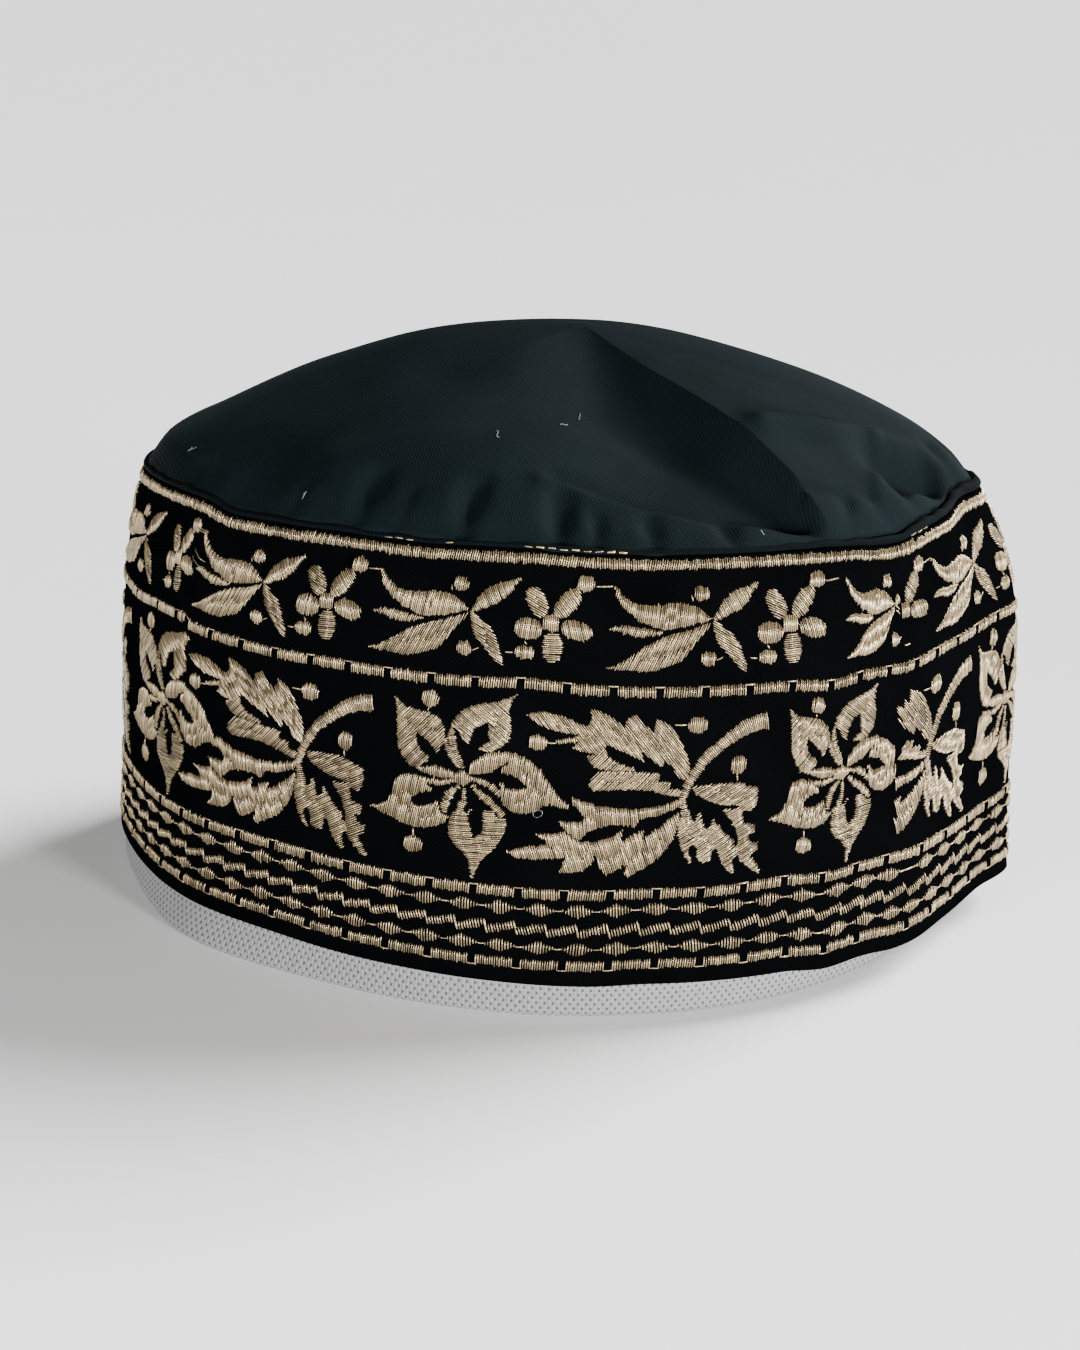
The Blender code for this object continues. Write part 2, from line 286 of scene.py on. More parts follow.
# Outlines are places around the band and heights above the surface, in millimetres, where the
# motif is charted; a motif's hub is the place that is laid on each repeat's place
FLOWER = Motif(65.0, (
    Fill("upper left petal", 47, (
        (49.3, 69.5), (50.5, 68.3), (52.0, 67.4), (54.5, 67.0), (57.0, 66.8), (58.9, 66.2),
        (60.3, 65.0), (61.2, 63.1), (61.0, 60.6), (60.3, 60.0), (59.8, 58.7), (59.0, 58.0),
        (58.6, 59.0), (57.5, 60.1), (56.0, 61.2), (54.7, 62.3), (54.5, 61.0), (54.8, 59.6),
        (55.8, 58.3), (57.8, 57.1), (57.1, 55.9), (56.0, 55.2), (54.9, 54.3), (53.0, 54.6),
        (51.6, 56.3), (50.5, 58.5), (50.1, 60.6), (50.1, 64.6), (49.9, 67.3))),
    Fill("upper right petal", -38, (
        (76.3, 72.4), (74.1, 71.3), (71.4, 70.3), (68.7, 69.8), (66.6, 69.2), (64.7, 68.0),
        (63.3, 66.5), (62.3, 64.8), (62.1, 63.3), (62.9, 64.0), (64.1, 63.3), (64.7, 61.7),
        (66.2, 60.8), (67.0, 62.9), (67.3, 64.1), (68.7, 65.2), (70.3, 65.8), (70.5, 63.3),
        (70.8, 61.9), (69.5, 61.2), (68.2, 60.3), (68.8, 59.8), (71.2, 59.5), (73.0, 60.6),
        (74.7, 62.3), (75.3, 64.2), (75.3, 66.3), (74.8, 68.3), (75.2, 70.6))),
    Fill("right petal", 83, (
        (66.4, 55.6), (67.0, 57.0), (68.5, 58.4), (70.8, 59.5), (73.0, 60.0), (75.5, 60.1),
        (77.8, 59.4), (79.9, 58.3), (81.6, 56.9), (82.6, 55.4), (83.7, 53.8), (85.1, 51.8),
        (86.4, 50.3), (87.8, 49.3), (87.5, 48.3), (85.8, 48.8), (83.7, 49.1), (82.2, 48.7),
        (81.0, 47.8), (79.3, 46.9), (77.2, 46.6), (75.1, 47.4), (73.8, 48.5), (73.3, 50.4),
        (73.3, 51.7), (72.9, 53.3), (73.8, 53.3), (74.3, 52.3), (76.6, 52.2), (78.8, 52.7),
        (77.8, 53.8), (76.4, 54.7), (74.7, 55.1), (73.2, 55.3), (73.3, 56.5), (75.1, 58.0),
        (72.9, 56.7), (71.4, 55.3), (69.1, 54.7), (66.7, 54.2))),
    Fill("lower petal", 2, (
        (64.7, 46.3), (62.8, 45.8), (62.0, 42.1), (62.5, 39.8), (63.7, 38.3), (65.5, 36.9),
        (66.7, 35.2), (67.0, 33.3), (67.1, 31.3), (67.8, 31.3), (68.3, 33.1), (69.1, 35.2),
        (70.8, 37.1), (72.6, 39.1), (74.0, 41.5), (74.7, 43.8), (74.5, 45.3), (73.0, 45.4),
        (71.8, 46.8), (69.8, 47.1), (69.5, 46.0), (69.8, 44.0), (69.3, 41.9), (67.8, 40.5),
        (66.9, 42.1), (66.5, 44.2), (66.3, 45.3), (67.3, 46.7), (67.0, 47.0), (65.8, 45.9))),
    Fill("left petal", 78, (
        (44.4, 44.3), (46.7, 45.2), (48.3, 46.3), (49.2, 47.9), (49.6, 50.0), (50.1, 51.5),
        (51.4, 52.4), (53.3, 52.9), (55.8, 52.8), (57.1, 52.3), (57.1, 51.6), (58.2, 50.4),
        (58.3, 49.3), (57.2, 49.5), (55.8, 49.0), (54.4, 48.1), (53.7, 47.2), (54.5, 46.3),
        (56.6, 46.3), (58.5, 47.0), (59.4, 47.9), (60.0, 47.6), (60.3, 45.2), (62.3, 44.6),
        (61.4, 43.3), (59.7, 42.1), (57.0, 41.3), (54.5, 41.2), (51.8, 41.7), (48.9, 42.7),
        (46.6, 43.5))),
    Stem("upper left arm", ((61.0, 61.4), (61.8, 59.2), (62.9, 57.3), (64.3, 55.6)),
         (1.2, 1.4, 1.2, 0.8)),
    Stem("second left arm", ((55.0, 54.4), (57.4, 54.2), (60.0, 54.1), (61.9, 54.0), (63.2, 53.8)),
         (1.0, 1.9, 2.6, 2.0, 1.0)),
    Stem("upper right arm", ((62.4, 63.5), (62.5, 61.3), (63.3, 58.8), (64.2, 57.0), (65.0, 55.6)),
         (1.2, 1.8, 1.7, 1.5, 0.8)),
    Stem("right arm", ((67.2, 53.3), (69.1, 53.0), (71.2, 52.2), (73.3, 50.5)),
         (0.8, 1.4, 1.6, 1.4)),
    Stem("lower right arm", ((67.2, 51.9), (69.1, 50.1), (71.5, 48.3), (73.8, 46.0)),
         (0.9, 1.6, 1.8, 1.5)),
    Stem("lower arm", ((65.4, 51.0), (65.5, 49.2), (65.1, 47.7), (64.5, 45.8)),
         (0.9, 1.1, 1.4, 1.9)),
    Stem("third left arm", ((57.0, 51.8), (59.5, 51.8), (61.6, 52.2), (63.3, 52.7)),
         (1.0, 1.5, 1.3, 0.8)),
    Stem("lower left arm", ((61.1, 45.6), (61.6, 48.1), (62.6, 50.1), (64.2, 51.5)),
         (1.5, 2.0, 1.6, 0.9)),
    Stem("eye", ((62.8, 53.4), (65.0, 53.4), (67.0, 53.3)), (1.6, 3.4, 1.4)),
    Pad("upper dot", 57.5, 69.6, 3.9, 3.7, 0, 80),
    Stem("upper dot's stalk", ((57.3, 67.9), (57.0, 66.7)), (0.8, 0.8)),
    Pad("lower dot", 54.3, 37.3, 4.4, 3.8, 0, 80),
    Stem("lower dot's stalk", ((54.4, 41.0), (54.4, 39.0)), (0.8, 0.8)),
))

LEAF = Motif(112.0, (
    Fill("top lobe", -52, (
        (78.3, 68.2), (79.9, 68.9), (83.1, 69.1), (85.8, 68.6), (88.1, 67.7), (89.9, 66.8),
        (91.5, 66.6), (92.2, 68.2), (91.7, 70.2), (93.5, 69.8), (95.8, 68.9), (97.6, 67.7),
        (99.0, 66.4), (99.7, 68.2), (101.3, 69.1), (102.2, 68.4), (103.5, 66.8), (105.1, 65.5),
        (105.8, 68.2), (107.6, 67.5), (109.5, 66.1), (110.4, 64.5), (111.5, 62.3), (112.6, 60.0),
        (113.1, 57.3), (112.8, 55.2), (111.5, 55.0), (110.4, 55.9), (109.2, 57.7), (107.6, 59.5),
        (107.2, 57.6), (105.8, 58.6), (104.0, 60.0), (102.6, 61.8), (103.4, 58.9), (101.7, 59.8),
        (100.4, 60.5), (98.1, 61.4), (95.8, 62.5), (95.0, 61.6), (93.5, 60.5), (90.4, 60.9),
        (88.1, 61.6), (89.2, 62.9), (88.6, 63.9), (89.5, 64.6), (87.2, 64.8), (84.0, 65.2),
        (80.8, 66.4))),
    Fill("second lobe", 47, (
        (91.0, 60.0), (92.3, 60.4), (93.7, 61.4), (95.1, 61.8), (95.8, 60.2), (97.3, 59.1),
        (99.5, 58.2), (101.4, 57.7), (101.0, 56.9), (97.6, 57.0), (94.5, 57.2), (93.0, 57.7),
        (91.7, 58.9))),
    Fill("third lobe", 47, (
        (94.1, 57.0), (97.6, 57.1), (101.0, 56.9), (103.5, 56.9), (106.9, 56.6), (106.4, 55.0),
        (109.0, 54.6), (108.8, 53.4), (111.4, 52.8), (110.8, 51.2), (107.6, 51.8), (104.9, 52.7),
        (101.3, 53.0), (97.6, 52.9), (92.9, 52.5), (91.5, 53.8), (92.5, 55.6))),
    Fill("fourth lobe", 97, (
        (88.1, 51.5), (90.4, 50.7), (93.5, 49.5), (97.6, 49.0), (101.7, 48.8), (105.8, 49.3),
        (109.0, 50.1), (112.0, 51.3), (112.1, 50.2), (110.4, 48.7), (107.2, 47.4), (102.7, 46.5),
        (101.8, 44.6), (99.5, 45.2), (96.7, 45.2), (94.0, 44.5), (92.0, 43.6), (90.1, 41.6),
        (87.0, 43.6), (85.7, 45.7), (90.6, 45.9), (91.0, 46.8), (89.7, 48.4), (88.5, 49.5))),
    Fill("bottom lobe", 107, (
        (87.0, 43.6), (90.1, 41.6), (93.5, 41.6), (96.7, 42.6), (99.3, 44.2), (99.1, 41.9),
        (101.5, 43.2), (103.8, 44.6), (103.5, 42.6), (106.0, 44.1), (108.3, 45.9), (110.1, 47.7),
        (111.2, 48.4), (110.6, 44.1), (109.5, 41.4), (107.4, 38.4), (105.4, 36.6), (103.1, 35.3),
        (100.6, 33.7), (99.5, 34.5), (100.4, 36.7), (98.1, 35.1), (95.9, 34.0), (94.5, 35.5),
        (93.6, 38.6), (93.0, 36.5), (90.8, 34.9), (88.1, 34.3), (85.6, 34.1), (86.5, 35.9),
        (87.3, 37.6), (84.2, 37.2), (80.8, 36.8), (77.0, 36.9), (74.5, 38.0), (76.7, 39.1),
        (79.7, 40.0), (83.5, 40.5), (83.1, 41.3), (80.4, 42.5), (85.1, 43.2))),
    Fill("right claw", 30, (
        (113.5, 53.4), (115.4, 53.7), (117.6, 53.9), (119.9, 54.1), (122.2, 54.0), (124.5, 53.7),
        (125.8, 53.0), (128.1, 52.4), (128.2, 50.5), (127.9, 48.6), (126.7, 47.2), (124.7, 47.7),
        (125.1, 45.9), (125.4, 44.8), (127.9, 44.3), (127.6, 42.3), (126.3, 42.0), (126.7, 40.5),
        (128.5, 40.2), (128.5, 38.4), (126.7, 37.7), (129.2, 33.9), (129.0, 33.0), (127.6, 33.6),
        (126.0, 35.0), (124.5, 36.4), (123.5, 38.6), (124.0, 41.4), (123.3, 43.2), (122.2, 45.5),
        (120.4, 47.7), (121.3, 48.2), (123.1, 48.3), (124.0, 48.7), (119.5, 49.2), (117.4, 50.1),
        (115.8, 50.9), (114.2, 51.8))),
    Fill("lower claw", 33, (
        (112.8, 46.5), (114.4, 45.9), (115.1, 47.7), (115.8, 47.7), (116.0, 45.9), (116.7, 44.1),
        (117.9, 44.8), (117.9, 46.4), (118.5, 46.1), (119.5, 44.8), (120.4, 43.6), (121.7, 42.3),
        (123.3, 41.1), (122.6, 40.2), (124.0, 40.0), (124.4, 37.7), (122.9, 37.0), (123.5, 33.4),
        (122.2, 33.9), (120.8, 35.5), (119.9, 37.3), (119.2, 39.5), (118.3, 39.1), (118.1, 36.8),
        (116.3, 36.5), (115.1, 37.3), (114.9, 39.5), (114.5, 40.7), (113.5, 40.5), (113.1, 39.1),
        (114.2, 36.6), (113.5, 36.5), (112.2, 38.2), (111.3, 40.5), (110.7, 43.2), (110.7, 46.8))),
    Stem("stalk", (
        (129.9, 66.6), (126.7, 66.1), (123.1, 64.5), (119.5, 62.0), (116.3, 59.3), (114.2, 56.4),
        (112.6, 53.6), (111.7, 50.5), (112.4, 47.3), (112.6, 45.6)),
        (3.6, 3.4, 2.9, 2.5, 2.3, 2.1, 2.0, 1.5, 2.2, 2.6)),
    Stem("short bar", ((84.9, 62.9), (87.0, 63.2), (89.0, 63.6)), (0.9, 1.3, 1.2)),
    Pad("right dot", 114.5, 66.6, 4.2, 3.7, 0, 85),
    Stem("right dot's stalk", ((109.5, 66.8), (112.4, 66.7)), (0.9, 0.6)),
    Pad("stalk's dot", 123.6, 57.6, 4.0, 3.4, 80, 85),
    Stem("dot's stalk", ((123.3, 55.9), (123.5, 54.0)), (0.8, 0.8)),
    Pad("left dot", 80.9, 62.5, 4.0, 3.4, 0, 88),
    Stem("left dot's stalk", ((82.7, 62.6), (84.9, 62.6)), (0.6, 0.6)),
))

SPRIG = Motif(65.5, (
    Fill("upper body", 80, (
        (44.3, 94.6), (45.3, 93.9), (46.6, 92.6), (48.3, 91.6), (50.3, 91.1), (52.8, 91.1),
        (55.3, 91.4), (57.4, 91.7), (59.9, 91.6), (61.6, 91.2), (63.3, 90.3), (64.5, 89.3),
        (65.5, 88.6), (63.7, 88.0), (62.0, 87.6), (59.5, 87.0), (57.0, 86.5), (54.9, 86.3),
        (52.4, 86.8), (52.2, 87.4), (50.3, 87.6), (48.3, 88.9), (46.6, 90.1), (45.1, 91.8),
        (44.6, 93.0))),
    Fill("leaflet", 70, (
        (43.0, 86.1), (44.5, 86.9), (46.6, 87.2), (48.7, 86.9), (51.2, 86.7), (53.3, 86.5),
        (55.3, 86.1), (54.1, 85.4), (51.6, 84.8), (49.1, 84.8), (47.0, 85.3), (44.9, 85.8))),
    Fill("long lower leaf", 62, (
        (42.5, 78.5), (44.5, 79.2), (46.6, 80.3), (49.1, 81.9), (52.0, 83.7), (54.9, 84.9),
        (57.8, 85.8), (60.8, 86.6), (63.7, 87.6), (65.3, 88.2), (64.7, 87.0), (63.7, 86.0),
        (62.0, 84.1), (60.3, 82.0), (58.7, 80.3), (56.2, 79.3), (53.3, 78.3), (50.3, 78.0),
        (47.4, 78.3), (44.5, 78.2))),
    Fill("lower right leaf", -28, (
        (65.5, 88.5), (67.0, 87.6), (68.7, 86.6), (70.3, 85.3), (71.4, 83.7), (72.2, 81.6),
        (73.0, 79.5), (73.0, 78.0), (71.6, 78.7), (70.3, 79.9), (68.7, 81.6), (67.0, 83.3),
        (66.2, 84.5), (65.8, 86.2))),
    Fill("upper right leaf", -62, (
        (65.6, 88.8), (66.6, 90.3), (67.8, 92.0), (69.5, 93.5), (71.2, 94.3), (73.3, 94.7),
        (74.9, 95.3), (76.2, 95.8), (76.4, 95.1), (75.3, 94.1), (74.5, 93.0), (73.3, 91.6),
        (71.6, 90.3), (69.5, 89.5), (67.4, 88.5), (66.0, 88.3))),
    Pad("upper dot", 63.3, 93.5, 3.6, 2.8, 0, 82),
    Stem("upper dot's hook", ((61.0, 93.4), (61.3, 91.8)), (0.8, 0.7)),
    Pad("lower dot", 64.5, 80.8, 3.4, 3.0, 0, 88),
    Stem("lower dot's hook", ((66.0, 80.4), (67.8, 81.3)), (0.6, 0.5)),
))

BLOSSOM = Motif(83.0, (
    Stem("eye", ((81.5, 87.2), (84.6, 87.1)), (3.2, 3.4)),
    Pad("upper left petal", 80.0, 91.1, 6.4, 4.0, 124, -25),
    Pad("upper right petal", 86.6, 91.1, 7.2, 3.9, 44, -50),
    Pad("right petal", 88.5, 85.8, 6.9, 3.9, -14, 105),
    Pad("lower petal", 83.5, 82.3, 6.1, 4.3, 92, 0),
    Pad("left petal", 78.2, 85.8, 6.1, 4.4, 178, 82),
    Pad("upper dot", 90.4, 94.9, 4.0, 3.2, 0, 85),
    Stem("upper dot's hook", ((88.9, 95.4), (88.5, 94.0)), (0.9, 0.9)),
    Stem("thread to the next sprig", ((92.4, 94.5), (96.4, 94.6)), (0.4, 0.4)),
    Pad("lower dot", 77.6, 81.0, 4.2, 2.9, 0, 88),
    Stem("thread from the sprig", ((73.3, 80.8), (75.3, 80.8)), (0.4, 0.4)),
    Stem("thread to the petal", ((77.4, 83.5), (78.2, 82.5)), (0.4, 0.4)),
))
MOTIFS = {"flower": FLOWER, "leaf": LEAF, "sprig": SPRIG, "blossom": BLOSSOM}

# How far the cloth's rows ride up or down around the cap, in millimetres
PULL_HEIGHTS = np.array([13.4, 29.4, 73.9, 98.7]) * MM
PULLS = (
    Pull("left back", -60.0, 0.0, -1.0, -0.4, -1.7),
    Pull("left side", -38.0, -0.4, -1.0, -0.4, -0.5),
    Pull("left side, front", -22.0, -0.2, -0.7, 1.0, 0.6),
    Pull("left seam, near side", -8.6, 0.1, -0.2, 1.4, 0.9),
    Pull("left seam, far side", -8.2, 0.1, -0.2, 0.1, 0.9),
    Pull("left front corner", 2.0, 0.3, 0.1, -0.2, -0.7),
    Pull("left front", 18.0, 0.5, 0.5, -0.5, -0.4),
    Pull("left of the middle", 35.0, 0.1, 0.1, -0.1, 0.0),
    Pull("front, left", 52.0, 0.0, -0.1, 0.0, 0.0),
    Pull("front middle", 68.0, -0.2, -0.2, 0.3, 0.5),
    Pull("front middle, rising", 78.0, -0.2, -0.2, 0.9, 0.6),
    Pull("front, right", 92.0, 0.0, 0.0, 0.0, 0.2),
    Pull("right of the middle", 106.0, 0.8, 0.7, -0.3, 0.0),
    Pull("right front", 120.0, 0.8, 0.6, -0.4, 0.0),
    Pull("before the pleat", 134.0, 0.8, 1.2, -0.6, -0.1),
    Pull("pleat", 146.0, -0.5, 0.3, -1.6, -0.4),
    Pull("after the pleat", 155.0, 0.1, 0.8, -0.7, -1.0),
    Pull("join", 166.0, -0.8, 0.5, -1.1, -2.0),
    Pull("after the join", 178.0, -0.5, 0.0, -0.1, -0.9),
    Pull("before the corner", 196.0, 0.1, -0.5, 0.2, -0.3),
    Pull("right corner", 206.0, 0.4, -0.2, 0.9, 0.8),
    Pull("past the corner", 214.0, 0.4, 1.0, 1.5, 1.0),
    Pull("right side", 225.0, -0.5, -0.6, 0.8, 0.6),
    Pull("right back", 240.0, 0.0, 0.0, 0.0, 0.0),
    Pull("back", 400.0, 0.0, 0.0, 0.0, 0.0),
)

# Equally spaced places from a first to a last one
Run = namedtuple("Run", "first last count")
# A thread rises in full from this length in millimetres, and the shortest by this share
FULL_RISE_LENGTH = 2.2
LEAST_RISE = 0.45
# The least and the greatest share of its rise that a thread has by chance
RISE_UNEVEN = (0.7, 1.2)


# A line of stitched blocks: a thread bridges each gap along the upper edge (1) or the lower edge (-1)
BlockLine = namedtuple("BlockLine", "place z height bridge gaps")
# A line of separate figures, each at a place of its own
FigureLine = namedtuple("FigureLine", "place z path widths centres")

BLOCK_GAP = 2.0
BLOCK_LINES = (
    BlockLine("divider", 73.9, 2.3, 1, (
        Run(-37.0, -37.0, 1), Run(-22.3, -12.8, 2), Run(-8.4, -8.4, 1), Run(0.1, 47.6, 6),
        Run(57.5, 135.6, 9), Run(145.2, 145.2, 1), Run(152.7, 161.0, 2), Run(169.6, 169.6, 1),
        Run(177.3, 206.8, 4), Run(216.5, 527.6, 33))),
    BlockLine("upper border line", 29.4, 2.4, 1, (
        Run(-39.3, -9.4, 4), Run(0.0, 96.9, 11), Run(106.7, 144.3, 5), Run(153.0, 161.7, 2),
        Run(173.3, 195.3, 3), Run(204.8, 213.2, 2), Run(223.0, 525.5, 32))),
    BlockLine("lower border line", 13.4, 2.2, -1, (
        Run(-27.5, 29.2, 7), Run(38.8, 135.5, 11), Run(145.0, 145.0, 1), Run(153.6, 168.5, 2),
        Run(177.7, 206.3, 4), Run(216.0, 537.1, 34))),
)
FIGURE_LINES = (
    FigureLine("upper lozenges", 25.8, ((-3.1, 0.0), (-1.6, 0.0), (0.0, 0.0), (1.6, 0.0), (3.1, 0.0)),
               (0.7, 2.0, 3.0, 2.1, 0.7), (
        Run(-32.6, 139.3, 22), Run(148.3, 162.8, 3), Run(175.3, 209.3, 5), Run(217.6, 533.6, 39))),
    FigureLine("slanted bars", 21.3, ((-3.0, -0.75), (3.0, 0.75)), (1.9, 1.9), (
        Run(-36.4, 21.8, 10), Run(28.4, 139.0, 18), Run(146.3, 146.3, 1), Run(152.4, 157.9, 2),
        Run(164.6, 164.6, 1), Run(172.3, 206.3, 6), Run(212.9, 531.0, 49))),
    FigureLine("lower lozenges", 17.2, ((-3.1, 0.0), (-1.6, 0.0), (0.0, 0.0), (1.6, 0.0), (3.1, 0.0)),
               (0.7, 2.0, 3.0, 2.1, 0.7), (
        Run(-32.6, 139.3, 22), Run(148.3, 163.5, 3), Run(170.2, 210.0, 6), Run(218.4, 533.6, 39))),
)
TOP_LINE_Z = 98.7
TOP_LINE_HEIGHT = 2.2
TOP_LINE_SECTION = 11.3
CORD_LINE_Z = 100.9
CORD_LINE_SPANS = ((44.0, 50.0), (58.6, 60.6), (76.5, 97.5), (172.0, 179.0))

# Where the band's two ends meet, at each row's height
MAIN_JOIN_AT = 163.4
UPPER_JOIN_AT = 165.6
BEFORE, AFTER = "before the join", "after the join"
MAIN_ROW = (
    Place("flower", -18.5, 1.0, BEFORE), Place("leaf", 26.4, 1.0, BEFORE),
    Place("flower", 65.0, 1.0, BEFORE), Place("leaf", 112.0, 1.0, BEFORE),
    Place("flower", 148.4, 0.86, BEFORE), Place("leaf", 174.5, 1.08, AFTER),
    Place("flower", 211.0, 0.8, AFTER), Place("leaf", 256.0, 1.0, AFTER),
    Place("flower", 297.2, 1.0, AFTER), Place("leaf", 342.2, 1.0, AFTER),
    Place("flower", 383.4, 1.0, AFTER), Place("leaf", 428.4, 1.0, AFTER),
    Place("flower", 469.6, 1.0, AFTER), Place("leaf", 514.6, 1.0, AFTER),
)
UPPER_ROW = (
    Place("sprig", -35.3, 1.0, BEFORE), Place("blossom", -14.2, 0.7, BEFORE),
    Place("sprig", 14.3, 0.96, BEFORE), Place("blossom", 31.6, 1.0, BEFORE),
    Place("sprig", 65.5, 1.0, BEFORE), Place("blossom", 83.0, 1.0, BEFORE),
    Place("sprig", 117.7, 1.0, BEFORE), Place("blossom", 135.4, 1.0, BEFORE),
    Place("sprig", 163.7, 0.62, BEFORE), Place("blossom", 166.4, 0.9, AFTER),
    Place("sprig", 199.8, 1.0, AFTER), Place("blossom", 217.3, 1.0, AFTER),
    Place("sprig", 248.3, 1.0, AFTER), Place("blossom", 265.8, 1.0, AFTER),
    Place("sprig", 296.7, 1.0, AFTER), Place("blossom", 314.2, 1.0, AFTER),
    Place("sprig", 345.2, 1.0, AFTER), Place("blossom", 362.7, 1.0, AFTER),
    Place("sprig", 393.6, 1.0, AFTER), Place("blossom", 411.1, 1.0, AFTER),
    Place("sprig", 442.1, 1.0, AFTER), Place("blossom", 459.6, 1.0, AFTER),
    Place("sprig", 490.5, 1.0, AFTER), Place("blossom", 508.0, 1.0, AFTER),
)

# The camera that the photograph was taken with: where it looks, from how far and how high
CAMERA_TARGET = (-4.64 * MM, 6.29 * MM, 47.36 * MM)
CAMERA_DISTANCE = 450.0 * MM
CAMERA_ELEVATION = math.radians(20.94)
CAMERA_ROLL = math.radians(1.223)
CAMERA_LENS = 48.97


def plan_line():
    """The plan as points about its middle, their places around the cap and the whole girth.

    The points lie on a closed Catmull-Rom curve through the bends.
    """
    knots = np.array([(bend.x, bend.y) for bend in PLAN]) * MM
    before, after, later = np.roll(knots, 1, 0), np.roll(knots, -1, 0), np.roll(knots, -2, 0)
    t = (np.arange(CURVE_STEPS) / CURVE_STEPS)[:, None, None]
    curve = 0.5 * (
        2 * knots
        + (after - before) * t
        + (2 * before - 5 * knots + 4 * after - later) * t**2
        + (3 * knots - before - 3 * after + later) * t**3
    )
    points = curve.transpose(1, 0, 2).reshape(-1, 2)
    points = points - (points.max(0) + points.min(0)) / 2
    steps = np.linalg.norm(np.roll(points, -1, 0) - points, axis=1)
    arc = np.concatenate([[0], np.cumsum(steps)[:-1]])
    middle = [bend.place for bend in PLAN].index("front middle") * CURVE_STEPS
    return points, arc - arc[middle] + FRONT_MIDDLE_AT * MM, steps.sum()


PLAN_POINTS, PLAN_PLACES, GIRTH = plan_line()
PLAN_HALF = PLAN_POINTS.max(0)


def around(at, inset):
    """Points at places around the cap, drawn in towards its middle by an inset."""
    x, y = (np.interp(at, PLAN_PLACES, PLAN_POINTS[:, i], period=GIRTH) for i in (0, 1))
    return x * (1 - inset / PLAN_HALF[0]), y * (1 - inset / PLAN_HALF[1])


def through(knots, values, at):
    """A monotone cubic through rows of values, read at new places.

    Each slope is the harmonic mean of the steps on both sides, or zero at a peak.
    """
    knots, at = np.asarray(knots, float), np.asarray(at, float)
    values = np.asarray(values, float).reshape(len(knots), -1)
    rises = np.diff(values, axis=0) / np.diff(knots)[:, None]
    left, right = rises[:-1], rises[1:]
    safe = np.where(left * right > 0, left + right, 1.0)
    middle = np.where(left * right > 0, 2 * left * right / safe, 0.0)
    slopes = np.concatenate([rises[:1], middle, rises[-1:]])
    span = np.clip(np.searchsorted(knots, at, side="right") - 1, 0, len(knots) - 2)
    width = (knots[span + 1] - knots[span])[:, None]
    t = (at - knots[span])[:, None] / width
    return (
        values[span] * (2 * t**3 - 3 * t**2 + 1)
        + slopes[span] * width * (t**3 - 2 * t**2 + t)
        + values[span + 1] * (3 * t**2 - 2 * t**3)
        + slopes[span + 1] * width * (t**3 - t**2)
    )


def wall_inset(z):
    """How far the band's outer face leans in at each height."""
    heights = [row.z * MM for row in WALL]
    return through(heights, [row.inset * MM for row in WALL], z)[:, 0]


def corner_lean(at, z):
    """How much further the cloth leans in near the top of the right front corner."""
    across = np.mod(at - CORNER_LEAN_AT + GIRTH / 2, GIRTH) - GIRTH / 2
    up = np.clip((z - CORNER_LEAN_FROM_Z) / (BAND_TOP_Z - CORNER_LEAN_FROM_Z), 0, 1)
    return CORNER_LEAN * up**1.6 * np.exp(-((across / CORNER_LEAN_SPAN) ** 2))


def around_closed(rows, at):
    """Rows of a closed table read at places around the cap. Each row is a place and its values."""
    first = rows[0][0]
    knots = [row[0] for row in rows] + [first + GIRTH]
    values = [row[1:] for row in rows] + [rows[0][1:]]
    return through(knots, values, first + np.mod(at - first, GIRTH))


def drift(at, z):
    """How far the embroidered rows ride up or down with the cloth, at places and heights.

    It is the table of pulls, read around the band and then between the rows' own heights.
    """
    rows = around_closed([(p.at * MM, *(v * MM for v in p[2:])) for p in PULLS], at)
    z = np.clip(z, PULL_HEIGHTS[0], PULL_HEIGHTS[-1])
    span = np.clip(np.searchsorted(PULL_HEIGHTS, z, side="right") - 1, 0, len(PULL_HEIGHTS) - 2)
    share = (z - PULL_HEIGHTS[span]) / (PULL_HEIGHTS[span + 1] - PULL_HEIGHTS[span])
    index = np.arange(len(z))
    return rows[index, span] * (1 - share) + rows[index, span + 1] * share


def band_face(at, z, lift):
    """Points on the band's outer face at places and heights, raised from the cloth by a lift.

    The lift goes along the cross product of the face's two directions, found by small steps.
    """
    step = 0.2 * MM

    def face(at, z):
        return np.stack([*around(at, wall_inset(z) + corner_lean(at, z)), z + drift(at, z)], -1)

    point = face(at, z)
    along = face(at + step, z) - face(at - step, z)
    up = face(at, z + step) - face(at, z - step)
    out = np.cross(along, up)
    out /= np.linalg.norm(out, axis=1, keepdims=True)
    return point + out * np.asarray(lift)[:, None]


def seam_z(at):
    """The height of the seam between band and crown at places around the cap."""
    return BAND_TOP_Z + drift(at, np.full(len(at), BAND_TOP_Z))


def seam_cord(at):
    """The radius of the seam's cord and the set-in of the crown's edge at places around the cap."""
    rows = around_closed([(row.at * MM, row.cord * MM, row.set_in * MM) for row in SEAM], at)
    return rows[:, 0], rows[:, 1]


